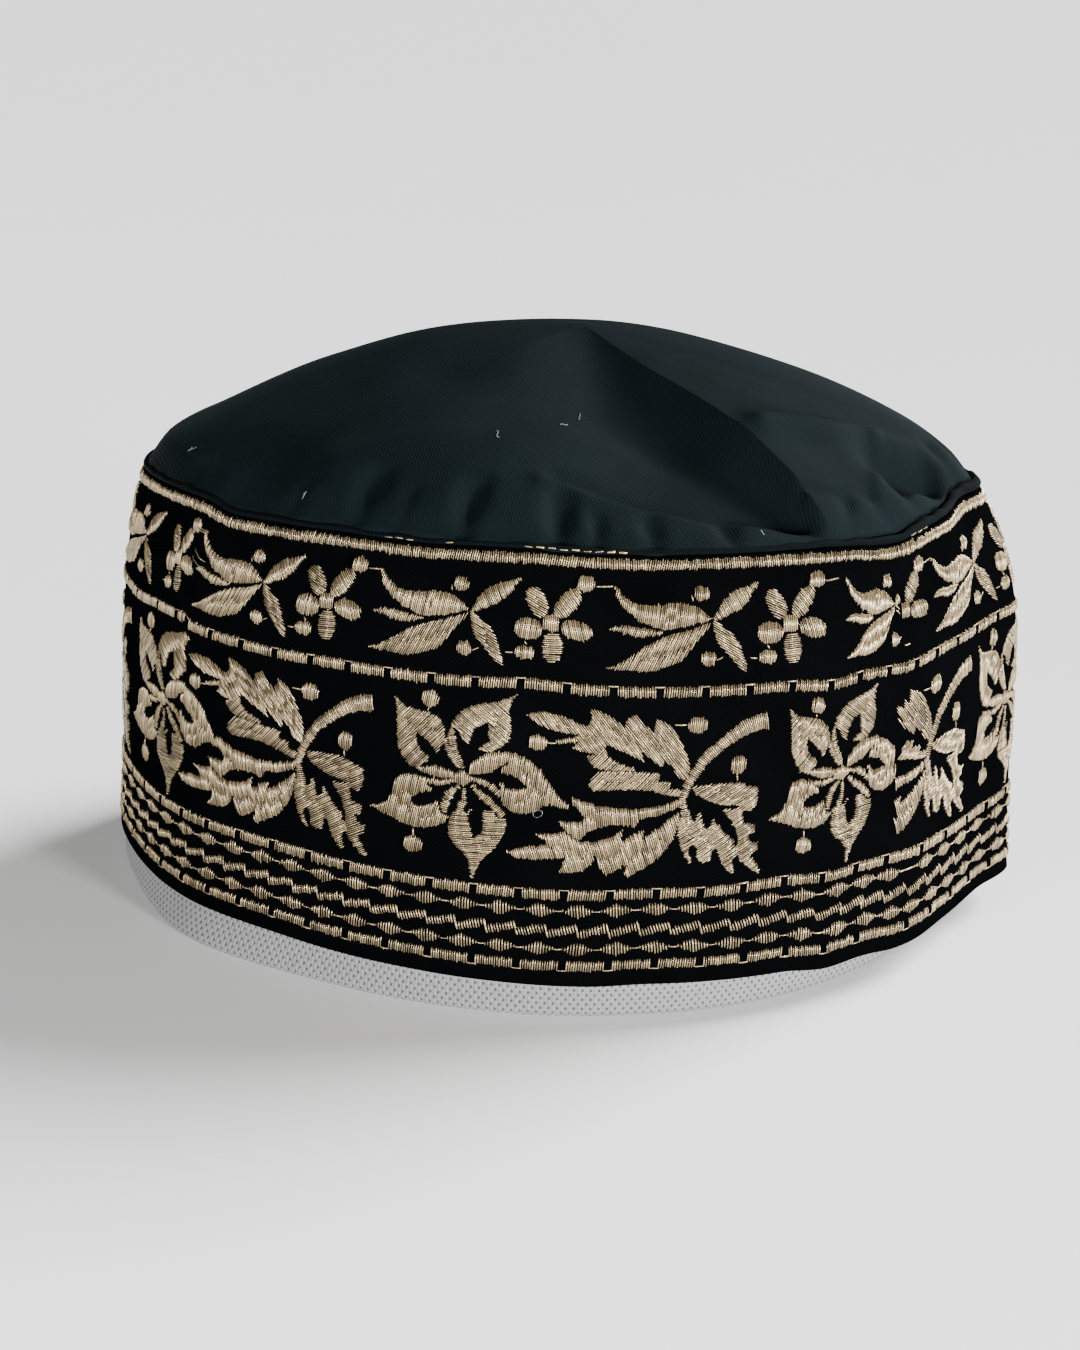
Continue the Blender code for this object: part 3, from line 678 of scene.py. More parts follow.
def crown_surface(at, out):
    """Points on the crown at places around the cap and shares of the way from its peak to the seam.

    The height is a cubic through the gores' stations, less the dents that the gathers press in.
    """
    cord, set_in = seam_cord(at)
    rim_inset = wall_inset(np.array([BAND_TOP_Z]))[0] + set_in + corner_lean(at, BAND_TOP_Z)
    rim_x, rim_y = around(at, rim_inset)
    peak = np.array(CROWN_PEAK) * MM
    gores = [(g.at * MM, g.inner * MM, g.middle * MM, g.shoulder * MM, g.edge * MM) for g in GORES]
    stations = around_closed(gores, at)
    knots = np.array([0.0, *CROWN_STATIONS, 1.0])
    profile = np.concatenate(
        [np.full((len(at), 1), CROWN_RISE), stations, RIM_ON_CORD * cord[:, None]], axis=1
    ).T
    height = through(knots, profile, out)
    reach = np.hypot(rim_x - peak[0], rim_y - peak[1])
    from_rim = reach[None, :] * (1 - out[:, None])
    full = np.exp(-(((at / MM - RIM_BULGE_MIDDLE) / RIM_BULGE_SPAN) ** 4))
    for dent in GATHERS:
        across = np.mod(at - dent.at * MM + GIRTH / 2, GIRTH) - GIRTH / 2
        pressed = np.exp(-((across / (dent.width * MM)) ** 2))
        along = np.sin(np.pi * np.clip(from_rim / (dent.reach * MM), 0, 1)) ** GATHER_POWER
        height -= dent.depth * MM * pressed * along
        full = full * (1 - GATHER_FLATTENS * pressed)
    swell = np.exp(-(((out[:, None] - RIM_BULGE_AT) / RIM_BULGE_REACH) ** 2))
    spread = out[:, None] + RIM_BULGE * full * swell
    x = peak[0] + (rim_x - peak[0])[None, :] * spread
    y = peak[1] + (rim_y - peak[1])[None, :] * spread
    flat_place = np.stack([x, y], -1)
    for fold in FOLDS:
        path_at, share = np.array(fold.path).T
        edge = np.stack(around(path_at * MM, wall_inset(np.array([BAND_TOP_Z]))[0] + MM), -1)
        path = peak + (edge - peak) * share[:, None]
        away = np.full(x.shape, np.inf)
        for first, last in zip(path[:-1], path[1:]):
            run = last - first
            t = np.clip((flat_place - first) @ run / (run @ run), 0, 1)
            away = np.minimum(away, np.linalg.norm(flat_place - first - t[..., None] * run, axis=-1))
        ridge = fold.height * MM * np.exp(-((away / (fold.width * MM)) ** 2))
        height += ridge * (1 - out[:, None] ** FOLD_END_POWER)
    foot = np.array([float(v[0]) for v in around(np.array([CREASE_AT * MM]), rim_inset[:1])]) - peak
    length = np.hypot(*foot)
    beyond = ((x - peak[0]) * foot[0] + (y - peak[1]) * foot[1]) / length**2
    beside = ((y - peak[1]) * foot[0] - (x - peak[0]) * foot[1]) / length
    rows = [(row.depth, row.reach) for row in HOLLOW]
    table = through([row.share for row in HOLLOW], rows, np.clip(beyond, 0, 1).ravel())
    depth, width = (table[:, i].reshape(x.shape) * MM for i in (0, 1))
    t = np.clip(-beside / width, 0, None)
    height -= depth * t * np.exp(1 - t) * (1 - np.clip(out[:, None], 0, 1) ** HOLLOW_END_POWER)
    sag = (seam_z(at) - BAND_TOP_Z)[None, :] * out[:, None] ** SEAM_RISE_POWER
    return np.stack([x, y, BAND_TOP_Z + PIECE_GAP + height + sag], -1)


def add_mesh(name, points, faces, material):
    """A piece from whole arrays of points and faces; its place is in its mesh."""
    mesh = bpy.data.meshes.new(name)
    mesh.from_pydata(points.reshape(-1, 3).tolist(), [], faces)
    mesh.materials.append(material)
    mesh.shade_smooth()
    mesh.update()
    piece = bpy.data.objects.new(name, mesh)
    bpy.context.scene.collection.objects.link(piece)
    return piece


def grid_faces(rows, columns, closed_rows=False):
    """Quads between neighbouring rows of a grid whose columns join up, last to first."""
    row = np.arange(rows if closed_rows else rows - 1)[:, None]
    column = np.arange(columns)[None, :]
    here, above = row * columns, ((row + 1) % rows) * columns
    beside = (column + 1) % columns
    quads = np.stack([here + column, here + beside, above + beside, above + column], -1)
    return quads.reshape(-1, 4).tolist()


class Field:
    """A shader socket that Python's own operators can be used on."""

    def __init__(self, tree, socket):
        self.tree = tree
        self.socket = socket

    def node(self, kind, settings=None, values=None, output=0):
        """One node of a kind: its settings first, then values or links for its sockets."""
        made = self.tree.nodes.new(kind)
        for key, value in (settings or {}).items():
            if key == "stops":
                ramp = made.color_ramp.elements
                for place, (position, color) in enumerate(value):
                    stop = ramp[place] if place < 2 else ramp.new(position)
                    stop.position, stop.color = position, (*color, 1.0)
            else:
                setattr(made, key, value)
        for key, value in (values or {}).items():
            if isinstance(value, Field):
                self.tree.links.new(value.socket, made.inputs[key])
            else:
                made.inputs[key].default_value = value
        return Field(self.tree, made.outputs[output])

    def math(self, operation, *others):
        values = dict(enumerate((self, *others)))
        return self.node("ShaderNodeMath", {"operation": operation}, values)

    def __add__(self, other):
        return self.math("ADD", other)

    def __mul__(self, other):
        return self.math("MULTIPLY", other)

    def __sub__(self, other):
        return self.math("SUBTRACT", other)

    def __rsub__(self, other):
        return self.node("ShaderNodeMath", {"operation": "SUBTRACT"}, {0: other, 1: self})


    def blend(self, low, high):
        """A colour between two colours by this share."""
        return self.node(
            "ShaderNodeMix", {"data_type": "RGBA"}, {"Factor": self, 6: low, 7: high}, output=2
        )


def new_material(name, roughness, specular, sheen=0.0, sheen_roughness=0.5, sheen_tint=(1, 1, 1)):
    """A material and its shader, with the values that are the same all over set on the shader."""
    material = bpy.data.materials.new(name)
    material.use_nodes = True
    tree = material.node_tree
    shader = tree.nodes["Principled BSDF"]
    shader.inputs["Roughness"].default_value = roughness
    shader.inputs["Specular IOR Level"].default_value = specular
    shader.inputs["Sheen Weight"].default_value = sheen
    shader.inputs["Sheen Roughness"].default_value = sheen_roughness
    shader.inputs["Sheen Tint"].default_value = (*sheen_tint, 1.0)
    coordinates = tree.nodes.new("ShaderNodeTexCoord")
    return material, shader, Field(tree, coordinates.outputs["Object"])


def feed(shader, name, value):
    value.tree.links.new(value.socket, shader.inputs[name])


def color(values):
    return (*values, 1.0)


def black_cloth(name, tint, low, high, roughness, sheen, gloss, weave=(1.0, 1.0, 1.0)):
    """Fine twill: thin ribs in relief, with a slow drift between two shares of its tint.

    The weave says how fast the ribs follow one another along X, Y and Z.
    """
    dark, light = [value * low for value in tint], [value * high for value in tint]
    material, shader, place = new_material(name, roughness, gloss, sheen, 0.35, (0.70, 0.95, 1.0))
    laid = place.node("ShaderNodeMapping", {}, {"Vector": place, "Scale": weave})
    ribs = place.node(
        "ShaderNodeTexWave",
        {"wave_type": "BANDS", "bands_direction": "DIAGONAL"},
        {"Vector": laid, "Scale": 640.0, "Distortion": 1.0, "Detail": 2.0},
        output=1,
    )
    drift = place.node("ShaderNodeTexNoise", {}, {"Vector": place, "Scale": 60.0, "Detail": 4.0})
    feed(shader, "Base Color", (drift * 0.65 + ribs * 0.35).blend(color(dark), color(light)))
    relief = place.node(
        "ShaderNodeBump", {}, {"Height": ribs, "Strength": 0.45, "Distance": 0.14 * MM}
    )
    feed(shader, "Normal", relief)
    return material


def lay_map(piece, heights, columns):
    """A map laid on a grid of quads: the place around the cap and the height, in metres."""
    column = np.arange(columns)[None, :, None] + np.array([0, 1, 1, 0])
    rows = len(heights)
    row = (np.arange(rows)[:, None, None] + np.array([0, 0, 1, 1])) % rows
    u, v = np.broadcast_arrays(column * GIRTH / columns, np.asarray(heights)[row])
    layer = piece.data.uv_layers.new(name="weave")
    layer.data.foreach_set("uv", np.stack([u, v], -1).astype(np.float32).ravel())


def white_knit(name, tint, step):
    """Knit: staggered rows of small holes between fine upright ribs, on the piece's own map. The bump presses
    the holes in, and they are painted dark as painted shade.
    """
    material, shader, place = new_material(name, 0.9, 0.15, 0.1)
    tree = material.node_tree
    weave = place.node("ShaderNodeUVMap", {"uv_map": "weave"})
    split = tree.nodes.new("ShaderNodeSeparateXYZ")
    tree.links.new(weave.socket, split.inputs[0])
    u, v = Field(tree, split.outputs[0]), Field(tree, split.outputs[1])
    turn = 2 * math.pi
    lattice = (u * (turn / step)).math("COSINE") * (v * (turn / KNIT_ROW_STEP)).math("COSINE")
    # The holes' mask: it presses the holes in through the bump and paints them dark, a painted shade
    holes = lattice.node("ShaderNodeMapRange", {"interpolation_type": "SMOOTHSTEP"},
                         {"Value": lattice, "From Min": 0.35, "From Max": 0.85})
    ribs = (u * (2 * turn / step)).math("COSINE") * 0.25
    grain = place.node("ShaderNodeTexNoise", {}, {"Vector": place, "Scale": 900.0, "Detail": 3.0})
    # Painted shade: the holes are painted near black, standing for the shaded inside of the cap seen through
    # them. The grain is the knit's own tone.
    tone = grain * 0.35 + (1.0 - holes) * 0.65
    # The dark end of the blend, a tenth of the knit's tint, is the painted shade in the holes
    feed(shader, "Base Color", tone.blend(color([v * 0.10 for v in tint]), color(tint)))
    relief = place.node(
        "ShaderNodeBump", {},
        {"Height": ribs + grain * 0.3 - holes, "Strength": 0.8, "Distance": 0.25 * MM},
    )
    feed(shader, "Normal", relief)
    return material


def turned(points, angle):
    """Flat points turned by an angle about the origin."""
    c, s = math.cos(angle), math.sin(angle)
    return points @ np.array([[c, s], [-s, c]])


def fill_stitches(outline, angle, rng, pitch=THREAD_PITCH):
    """Stitches at one angle inside a closed outline, as rows of start and end points.

    The outline is turned until the stitches are level. Each level line is cut where the outline
    crosses it, and every other span between the cuts is a stitch. The ends are left a little ragged,
    and a long span is broken in two or three at a random place, as a machine does.
    """
    flat = turned(np.asarray(outline, float), -math.radians(angle))
    nxt = np.roll(flat, -1, 0)
    levels = np.arange(flat[:, 1].min() + pitch / 2, flat[:, 1].max(), pitch)[:, None]
    crosses = (flat[:, 1] <= levels) != (nxt[:, 1] <= levels)
    rise = np.where(nxt[:, 1] == flat[:, 1], 1.0, nxt[:, 1] - flat[:, 1])
    cuts = flat[:, 0] + (levels - flat[:, 1]) / rise * (nxt[:, 0] - flat[:, 0])
    cuts = np.sort(np.where(crosses, cuts, np.inf), axis=1)
    cuts = cuts[:, : cuts.shape[1] // 2 * 2]
    left, right = cuts[:, 0::2], cuts[:, 1::2]
    row, column = np.nonzero(np.isfinite(right))
    left, right, level = left[row, column], right[row, column], levels[row, 0]
    left = left - rng.normal(EDGE_REACH, RAGGED_EDGE, len(left))
    right = right + rng.normal(EDGE_REACH, RAGGED_EDGE, len(right))
    keep = right - left > SHORTEST_STITCH
    left, right, level = left[keep], right[keep], level[keep]
    parts = np.ceil((right - left) / LONGEST_STITCH).astype(int)
    index = np.repeat(np.arange(len(left)), parts)
    part = np.arange(len(index)) - np.repeat(np.cumsum(parts) - parts, parts)
    count = parts[index]
    length = (right - left)[index]
    shift = rng.uniform(-0.22, 0.22, (len(left), parts.max() + 1 if len(parts) else 1))
    first = np.where(part == 0, 0, part + shift[index, part]) / count * length
    last = np.where(part + 1 == count, count, part + 1 + shift[index, part + 1]) / count * length
    first = np.where(part == 0, first, first - SPLIT_OVERLAP / 2)
    last = np.where(part + 1 == count, last, last + SPLIT_OVERLAP / 2)
    start = np.stack([left[index] + first, level[index]], -1)
    end = np.stack([left[index] + last, level[index] + rng.normal(0, 0.05, len(index))], -1)
    return turned(np.stack([start, end], 1), math.radians(angle))


def stem_stitches(path, widths, rng, pitch=THREAD_PITCH, slant=0.0):
    """Stitches across a path, each as long as the path is wide there, turned by a slant."""
    path, widths = np.asarray(path, float), np.asarray(widths, float)
    steps = np.linalg.norm(np.diff(path, axis=0), axis=1)
    run = np.concatenate([[0], np.cumsum(steps)])
    at = np.linspace(0, run[-1], max(int(run[-1] / pitch), 1) + 1)
    smooth = through(run, np.column_stack([path, widths]), at)
    middle, half = smooth[:, :2], smooth[:, 2:] / 2
    along = np.gradient(middle, axis=0)
    along /= np.linalg.norm(along, axis=1, keepdims=True)
    across = turned(along, math.radians(90.0 + slant))
    ragged = rng.normal(EDGE_REACH, RAGGED_EDGE, (2, len(at), 1))
    return np.stack([middle - across * (half + ragged[0]), middle + across * (half + ragged[1])], 1)


def pad_outline(pad):
    """A rounded outline: an ellipse with slightly full shoulders, turned to the pad's angle."""
    angle = np.arange(20) * 2 * math.pi / 20
    c, s = np.cos(angle), np.sin(angle)
    full = 0.85
    points = np.stack(
        [
            np.sign(c) * np.abs(c) ** full * pad.length / 2,
            np.sign(s) * np.abs(s) ** full * pad.width / 2,
        ],
        -1,
    )
    return turned(points, math.radians(pad.turn)) + (pad.at, pad.height)


def shape_stitches(shape, rng):
    """The stitches of one charted shape."""
    if isinstance(shape, Stem):
        if max(shape.widths) < 1.0 and len(shape.path) == 2:
            return np.array([shape.path], float) + rng.normal(0, 0.05, (1, 2, 2))
        return stem_stitches(shape.path, shape.widths, rng)
    outline = pad_outline(shape) if isinstance(shape, Pad) else shape.outline
    return fill_stitches(outline, shape.angle, rng)


def strand_mesh(name, paths, radius, material):
    """Loose strands: a tube of five sides along each path, drawn to a point at both ends."""
    points, faces, base = [], [], 0
    angle = np.arange(5) * 2 * math.pi / 5
    side = np.arange(5)
    for path in paths:
        path = np.asarray(path, float)
        along = np.gradient(path, axis=0)
        across = np.cross(along, (0.31, 0.17, 0.93))
        across /= np.linalg.norm(across, axis=1, keepdims=True)
        up = np.cross(across, along)
        up /= np.linalg.norm(up, axis=1, keepdims=True)
        ring = path[1:-1, None] + radius * (
            across[1:-1, None] * np.cos(angle)[:, None] + up[1:-1, None] * np.sin(angle)[:, None]
        )
        points.append(np.concatenate([path[:1], ring.reshape(-1, 3), path[-1:]]))
        count = len(ring)
        last = base + 1 + 5 * (count - 1)
        faces += np.stack([0 * side + base, base + 1 + (side + 1) % 5, base + 1 + side], -1).tolist()
        faces += np.stack([0 * side + last + 5, last + side, last + (side + 1) % 5], -1).tolist()
        here = base + 1 + 5 * np.arange(count - 1)[:, None]
        nxt = (side + 1) % 5
        walls = np.stack([here + side, here + nxt, here + 5 + nxt, here + 5 + side], -1)
        faces += walls.reshape(-1, 4).tolist()
        base += 5 * count + 2
    piece = add_mesh(name, np.concatenate(points), faces, material)
    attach(piece, "root")
    return piece


def row_stitches(row, motifs, cut, rng):
    """All the stitches of a row of repeats, cut off where the band's two ends meet."""
    found = []
    for place in row:
        if place.motif not in motifs:
            continue
        motif = MOTIFS[place.motif]
        lines = np.concatenate([shape_stitches(shape, rng) for shape in motif.shapes])
        charted = lines.reshape(-1, 2) * MM
        s, z = charted.T
        z = z - drift(s, z)
        s = place.at * MM + (s - motif.hub * MM) * place.squeeze
        lines = np.stack([s, z], -1).reshape(-1, 2, 2)
        if place.side == "before the join":
            inside = lines[:, :, 0] < cut * MM
        elif place.side == "after the join":
            inside = lines[:, :, 0] > cut * MM
        else:
            inside = np.ones(lines.shape[:2], bool)
        found.append(lines[inside.all(1)])
    return np.concatenate(found)


def thread_mesh(name, lines, material, rng, width):
    """Threads laid on the band, one for each line between two points of its face.

    A thread is a tube of four sides in three rings between two pointed ends. It rises from the cloth
    at its ends to its full height in the middle, where the thread is also widest.
    """
    count = len(lines)
    start, end = lines[:, 0], lines[:, 1]
    length = np.linalg.norm(end - start, axis=1)
    along = (end - start) / np.maximum(length, 1e-9)[:, None]
    across = np.stack([-along[:, 1], along[:, 0]], -1)
    end_share = np.minimum(0.3, END_SHARE * MM / np.maximum(length, 1e-9))
    one = np.ones(count)
    stations = np.stack([0 * one, end_share, 0.5 * one, 1 - end_share, one])
    lifts = np.array([-0.10, 0.70, 1.0, 0.70, -0.10])
    spreads = np.array([0.0, 0.92, 1.0, 0.92, 0.0])
    rise_share = np.clip(length / (FULL_RISE_LENGTH * MM), LEAST_RISE, 1.0)
    height = STITCH_RISE * MM * rise_share * rng.uniform(*RISE_UNEVEN, count)
    half = width / 2 * rng.uniform(0.72, 1.12, count)
    points = []
    for station, lift, spread in zip(stations, lifts, spreads):
        middle = start + (end - start) * station[:, None]
        raised = height * lift
        if spread == 0.0:
            points.append(band_face(middle[:, 0], middle[:, 1], raised)[:, None])
            continue
        ring = []
        for side, up in ((1, 0), (0, 1), (-1, 0), (0, -1)):
            corner = middle + across * (half * side * spread)[:, None]
            ring.append(band_face(corner[:, 0], corner[:, 1], raised + up * THREAD_RADIUS * MM))
        points.append(np.stack(ring, 1))
    points = np.concatenate(points, 1)
    size = points.shape[1]
    side = np.arange(4)
    nxt = (side + 1) % 4
    tips = np.concatenate([
        np.stack([0 * side, 1 + nxt, 1 + side], -1),
        np.stack([0 * side + size - 1, 9 + side, 9 + nxt], -1),
    ])
    walls = np.concatenate([
        np.stack([1 + 4 * ring + side, 1 + 4 * ring + nxt, 5 + 4 * ring + nxt, 5 + 4 * ring + side], -1)
        for ring in range(2)
    ])
    first = (np.arange(count) * size)[:, None, None]
    faces = (tips + first).reshape(-1, 3).tolist() + (walls + first).reshape(-1, 4).tolist()
    piece = add_mesh(name, points, faces, material)
    tone = piece.data.attributes.new("tone", "FLOAT", "POINT")
    tone.data.foreach_set("value", np.repeat(rng.uniform(0, 1, count), size).astype(np.float32))
    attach(piece, "root")
    return piece


def gold_thread(tint):
    """Pale gold rayon: each thread has its own tone, and a close bump stands for its twist."""
    material, shader, place = new_material("gold_thread", 0.24, 0.95)
    shader.inputs["Metallic"].default_value = 0.55
    tone = place.node("ShaderNodeAttribute", {"attribute_name": "tone"}, {}, output=2)
    dark, light = ([value * share for value in tint] for share in (0.42, 1.4))
    feed(shader, "Base Color", tone.blend(color(dark), color(light)))
    twist = place.node("ShaderNodeTexNoise", {}, {"Vector": place, "Scale": 2600.0, "Detail": 2.0})
    bump = {"Height": twist, "Strength": 0.55, "Distance": 0.1 * MM}
    relief = place.node("ShaderNodeBump", {}, bump)
    feed(shader, "Normal", relief)
    return material


def places(runs):
    return np.concatenate([np.linspace(run.first, run.last, run.count) for run in runs])


def border_lines(rng):
    """The rows of the border: blocks, lozenges and slanted bars, with their joining threads."""
    found = []
    turn = GIRTH / MM
    for line in BLOCK_LINES:
        gaps = places(line.gaps)
        ends = np.append(gaps[1:], gaps[0] + turn)
        edge = line.z + line.bridge * (line.height / 2 - 0.1)
        for first, last in zip(gaps + BLOCK_GAP / 2, ends - BLOCK_GAP / 2):
            path, widths = ((first, line.z), (last, line.z)), (line.height, line.height)
            found.append(stem_stitches(path, widths, rng, BORDER_PITCH, rng.uniform(-9, 3)))
            found.append(np.array([[(last - 0.3, edge), (last + BLOCK_GAP + 0.3, edge)]]))
    for line in FIGURE_LINES:
        centres = places(line.centres)
        following = np.append(centres[1:], centres[0] + turn)
        path = np.array(line.path)
        tip = np.array([path[-1, 0], path[-1, 1] * 2])
        for centre, later in zip(centres, following):
            here = np.array([centre, line.z])
            slant = rng.uniform(-6, 6)
            found.append(stem_stitches(path + here, line.widths, rng, FIGURE_PITCH, slant))
            found.append(np.array([[here + tip, (later, line.z) - tip]]))
    return np.concatenate(found)


def top_lines(rng):
    """The satin line along the seam, in short slanted sections, and the thin line above it."""
    found = []
    sections = int(GIRTH / MM / TOP_LINE_SECTION)
    edges = np.linspace(0, GIRTH / MM, sections + 1)
    for first, last in zip(edges[:-1], edges[1:]):
        path = ((first, TOP_LINE_Z), (last, TOP_LINE_Z + rng.uniform(-0.15, 0.15)))
        widths = TOP_LINE_HEIGHT * rng.uniform(0.85, 1.1, 2)
        found.append(stem_stitches(path, widths, rng, BORDER_PITCH, rng.uniform(-16, 12)))
    for first, last in CORD_LINE_SPANS:
        steps = np.arange(first, last, 2.6)
        z = CORD_LINE_Z + rng.uniform(-0.12, 0.12, (len(steps), 2))
        start = np.stack([steps, z[:, 0]], -1)
        end = np.stack([steps + 2.3, z[:, 1]], -1)
        found.append(np.stack([start, end], 1))
    return np.concatenate(found)


# Specks of lint on the crown: a place, a share of the way from the peak, a length and a turn
Lint = namedtuple("Lint", "at share length turn bend")
LINT = (
    Lint(-33.0, 0.94, 1.6, 20.0, 0.25), Lint(-32.4, 0.935, 1.2, 80.0, 0.2),
    Lint(19.0, 0.955, 1.0, 150.0, 0.2), Lint(19.4, 0.96, 1.0, 60.0, 0.2),
    Lint(61.0, 0.70, 4.0, 25.0, 0.9), Lint(81.0, 0.51, 3.2, 120.0, 1.1),
    Lint(88.0, 0.42, 2.6, 60.0, 0.8), Lint(131.0, 0.97, 1.0, 30.0, 0.2),
)
# Loose ends of gold thread: places around the band, heights and lifts from the cloth, in millimetres
LOOSE_ENDS = (
    ((-9.4, 94.8, 0.1), (-8.0, 94.5, 0.7), (-6.2, 94.1, 0.8), (-4.6, 94.4, 0.1)),
    ((-8.4, 90.3, 0.1), (-7.0, 89.8, 0.8), (-5.4, 88.9, 0.9), (-3.8, 88.4, 0.1)),
    ((-9.0, 88.0, 0.1), (-7.4, 87.8, 0.6), (-5.6, 87.2, 0.7), (-4.2, 87.3, 0.1)),
)
# The loop of clear thread: its middle, its radius and the thread's radius, in millimetres
CLEAR_LOOP = (81.4, 47.2, 1.0, 0.045)


def settings(context):
    return context.scene.kufi


class KufiSettings(bpy.types.PropertyGroup):
    """Sizes and colours of the cap that a user would change"""

    thread_width: bpy.props.FloatProperty(
        name="Thread width", description="Width of one embroidery thread in the flowers and leaves",
        default=THREAD_WIDTH * MM, min=0.0001, max=0.002, precision=5, unit="LENGTH")
    border_thread_width: bpy.props.FloatProperty(
        name="Border thread width", description="Width of one embroidery thread in the border rows",
        default=BORDER_THREAD_WIDTH * MM, min=0.0001, max=0.002, precision=5, unit="LENGTH")
    knit_hole_step: bpy.props.FloatProperty(
        name="Knit hole step", description="Distance between two holes of one row of the knit",
        default=KNIT_HOLE_STEP, min=0.0005, max=0.01, precision=5, unit="LENGTH")
    band_color: bpy.props.FloatVectorProperty(
        name="Band colour", description="Colour of the band's cloth", subtype="COLOR",
        default=(0.0013, 0.0015, 0.0018), min=0.0, max=1.0)
    crown_color: bpy.props.FloatVectorProperty(
        name="Crown colour", description="Colour of the crown's cloth", subtype="COLOR",
        default=(0.0033, 0.0064, 0.0072), min=0.0, max=1.0)
    thread_color: bpy.props.FloatVectorProperty(
        name="Thread colour", description="Colour of the embroidery thread", subtype="COLOR",
        default=(0.322, 0.245, 0.137), min=0.0, max=1.0)
    knit_color: bpy.props.FloatVectorProperty(
        name="Knit colour", description="Colour of the sweatband's knit", subtype="COLOR",
        default=(0.25, 0.253, 0.25), min=0.0, max=1.0)


class KUFI_OT_stage(bpy.types.Operator):
    """Adds the pale floor, the soft lights and the camera"""

    bl_idname = "kufi.stage"
    bl_label = "Add stage and camera"

    def execute(self, context):
        scene = context.scene
        forward = Vector((0, math.cos(CAMERA_ELEVATION), -math.sin(CAMERA_ELEVATION)))
        camera = bpy.data.objects.new("camera", bpy.data.cameras.new("camera"))
        camera.data.lens = CAMERA_LENS
        camera.data.clip_start = 0.01
        camera.matrix_world = (
            Matrix.Translation(Vector(CAMERA_TARGET) - forward * CAMERA_DISTANCE)
            @ forward.to_track_quat("-Z", "Y").to_matrix().to_4x4()
            @ Matrix.Rotation(CAMERA_ROLL, 4, "Z")
        )
        scene.collection.objects.link(camera)
        scene.camera = camera

        floor_mesh = bpy.data.meshes.new("floor")
        half = 60.0
        floor_mesh.from_pydata(
            [(-half, -half, 0), (half, -half, 0), (half, half, 0), (-half, half, 0)],
            [],
            [(0, 1, 2, 3)],
        )
        paper, shader, place = new_material("floor_paper", 0.9, 0.1)
        grain = place.node("ShaderNodeTexNoise", {}, {"Vector": place, "Scale": 8.0})
        feed(shader, "Base Color", grain.blend(color((0.88, 0.88, 0.88)), color((0.90, 0.90, 0.90))))
        floor_mesh.materials.append(paper)
        floor = bpy.data.objects.new("floor", floor_mesh)
        scene.collection.objects.link(floor)

        world = bpy.data.worlds.new("studio")
        world.use_nodes = True
        world.node_tree.nodes["Background"].inputs["Color"].default_value = (1, 1, 1, 1)
        world.node_tree.nodes["Background"].inputs["Strength"].default_value = 0.20
        scene.world = world

        def lamp(name, kind, energy, size, place, aim):
            light = bpy.data.lights.new(name, kind)
            light.energy = energy
            if kind == "SUN":
                light.angle = size
            else:
                light.size = size
            thing = bpy.data.objects.new(name, light)
            thing.location = place
            turn = (Vector(aim) - Vector(place)).to_track_quat("-Z", "Y")
            thing.rotation_mode = "QUATERNION"
            thing.rotation_quaternion = turn
            scene.collection.objects.link(thing)

        lamp("soft_sun", "SUN", 9.5, math.radians(30), (0.64, 0.36, 0.66), (0, 0, 0.08))
        lamp("low_right", "AREA", 21.0, 0.16, (0.66, -0.70, 0.11), (0.0, 0, 0.05))
        lamp("low_front", "AREA", 3.4, 0.10, (0.06, -0.90, 0.13), (0.0, 0, 0.08))
        lamp("low_left", "AREA", 8.0, 0.16, (-0.62, -0.72, 0.14), (-0.03, 0, 0.05))
        return {"FINISHED"}


class KUFI_OT_band(bpy.types.Operator):
    """Builds the black side band as one closed wall"""

    bl_idname = "kufi.band"
    bl_label = "Build band"

    def execute(self, context):
        at = np.arange(COLUMNS) * GIRTH / COLUMNS
        outer_z = np.linspace(HEM_Z, BAND_TOP_Z, BAND_ROWS)
        outer = [band_face(at, np.full(COLUMNS, z), np.zeros(COLUMNS)) for z in outer_z]
        inner_z = np.linspace(BAND_TOP_Z, HEM_Z, BAND_INNER_ROWS)
        inner = []
        for z, inset in zip(inner_z, wall_inset(inner_z)):
            place = around(at, inset + corner_lean(at, z) + BAND_WALL)
            inner.append(np.stack([*place, z + drift(at, np.full(COLUMNS, z))], -1))
        cloth = black_cloth("band_cloth", settings(context).band_color, 0.3, 1.3, 0.9, 0.0, 0.0)
        faces = grid_faces(BAND_ROWS + BAND_INNER_ROWS, COLUMNS, closed_rows=True)
        piece = add_mesh("band_cloth", np.array(outer + inner), faces, cloth)
        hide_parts("band")
        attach(piece, "root")
        return {"FINISHED"}


class KUFI_OT_crown(bpy.types.Operator):
    """Builds the soft crown with its crease, folds and gathers"""

    bl_idname = "kufi.crown"
    bl_label = "Build crown"

    def execute(self, context):
        at = CREASE_AT * MM + np.arange(CROWN_COLUMNS) * GIRTH / CROWN_COLUMNS
        out = (1 - np.arange(CROWN_RINGS) / CROWN_RINGS) ** CROWN_RING_POWER
        rows = crown_surface(at, out)
        peak = (CROWN_PEAK[0] * MM, CROWN_PEAK[1] * MM, BAND_TOP_Z + PIECE_GAP + CROWN_RISE)
        points = np.concatenate([rows.reshape(-1, 3), [peak]])
        top = CROWN_RINGS * CROWN_COLUMNS
        last = top - CROWN_COLUMNS + np.arange(CROWN_COLUMNS)
        cap = np.stack([last, np.roll(last, -1), np.full(CROWN_COLUMNS, top)], -1)
        faces = grid_faces(CROWN_RINGS, CROWN_COLUMNS) + cap.tolist()
        tint = settings(context).crown_color
        cloth = black_cloth("crown_cloth", tint, 0.45, 1.4, 0.75, 0.008, 0.02, CROWN_WEAVE)
        piece = add_mesh("crown_cloth", points, faces, cloth)
        wall = piece.modifiers.new("Thickness", "SOLIDIFY")
        wall.thickness = CROWN_WALL
        wall.offset = -1.0
        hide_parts("crown")
        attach(piece, "root")
        return {"FINISHED"}


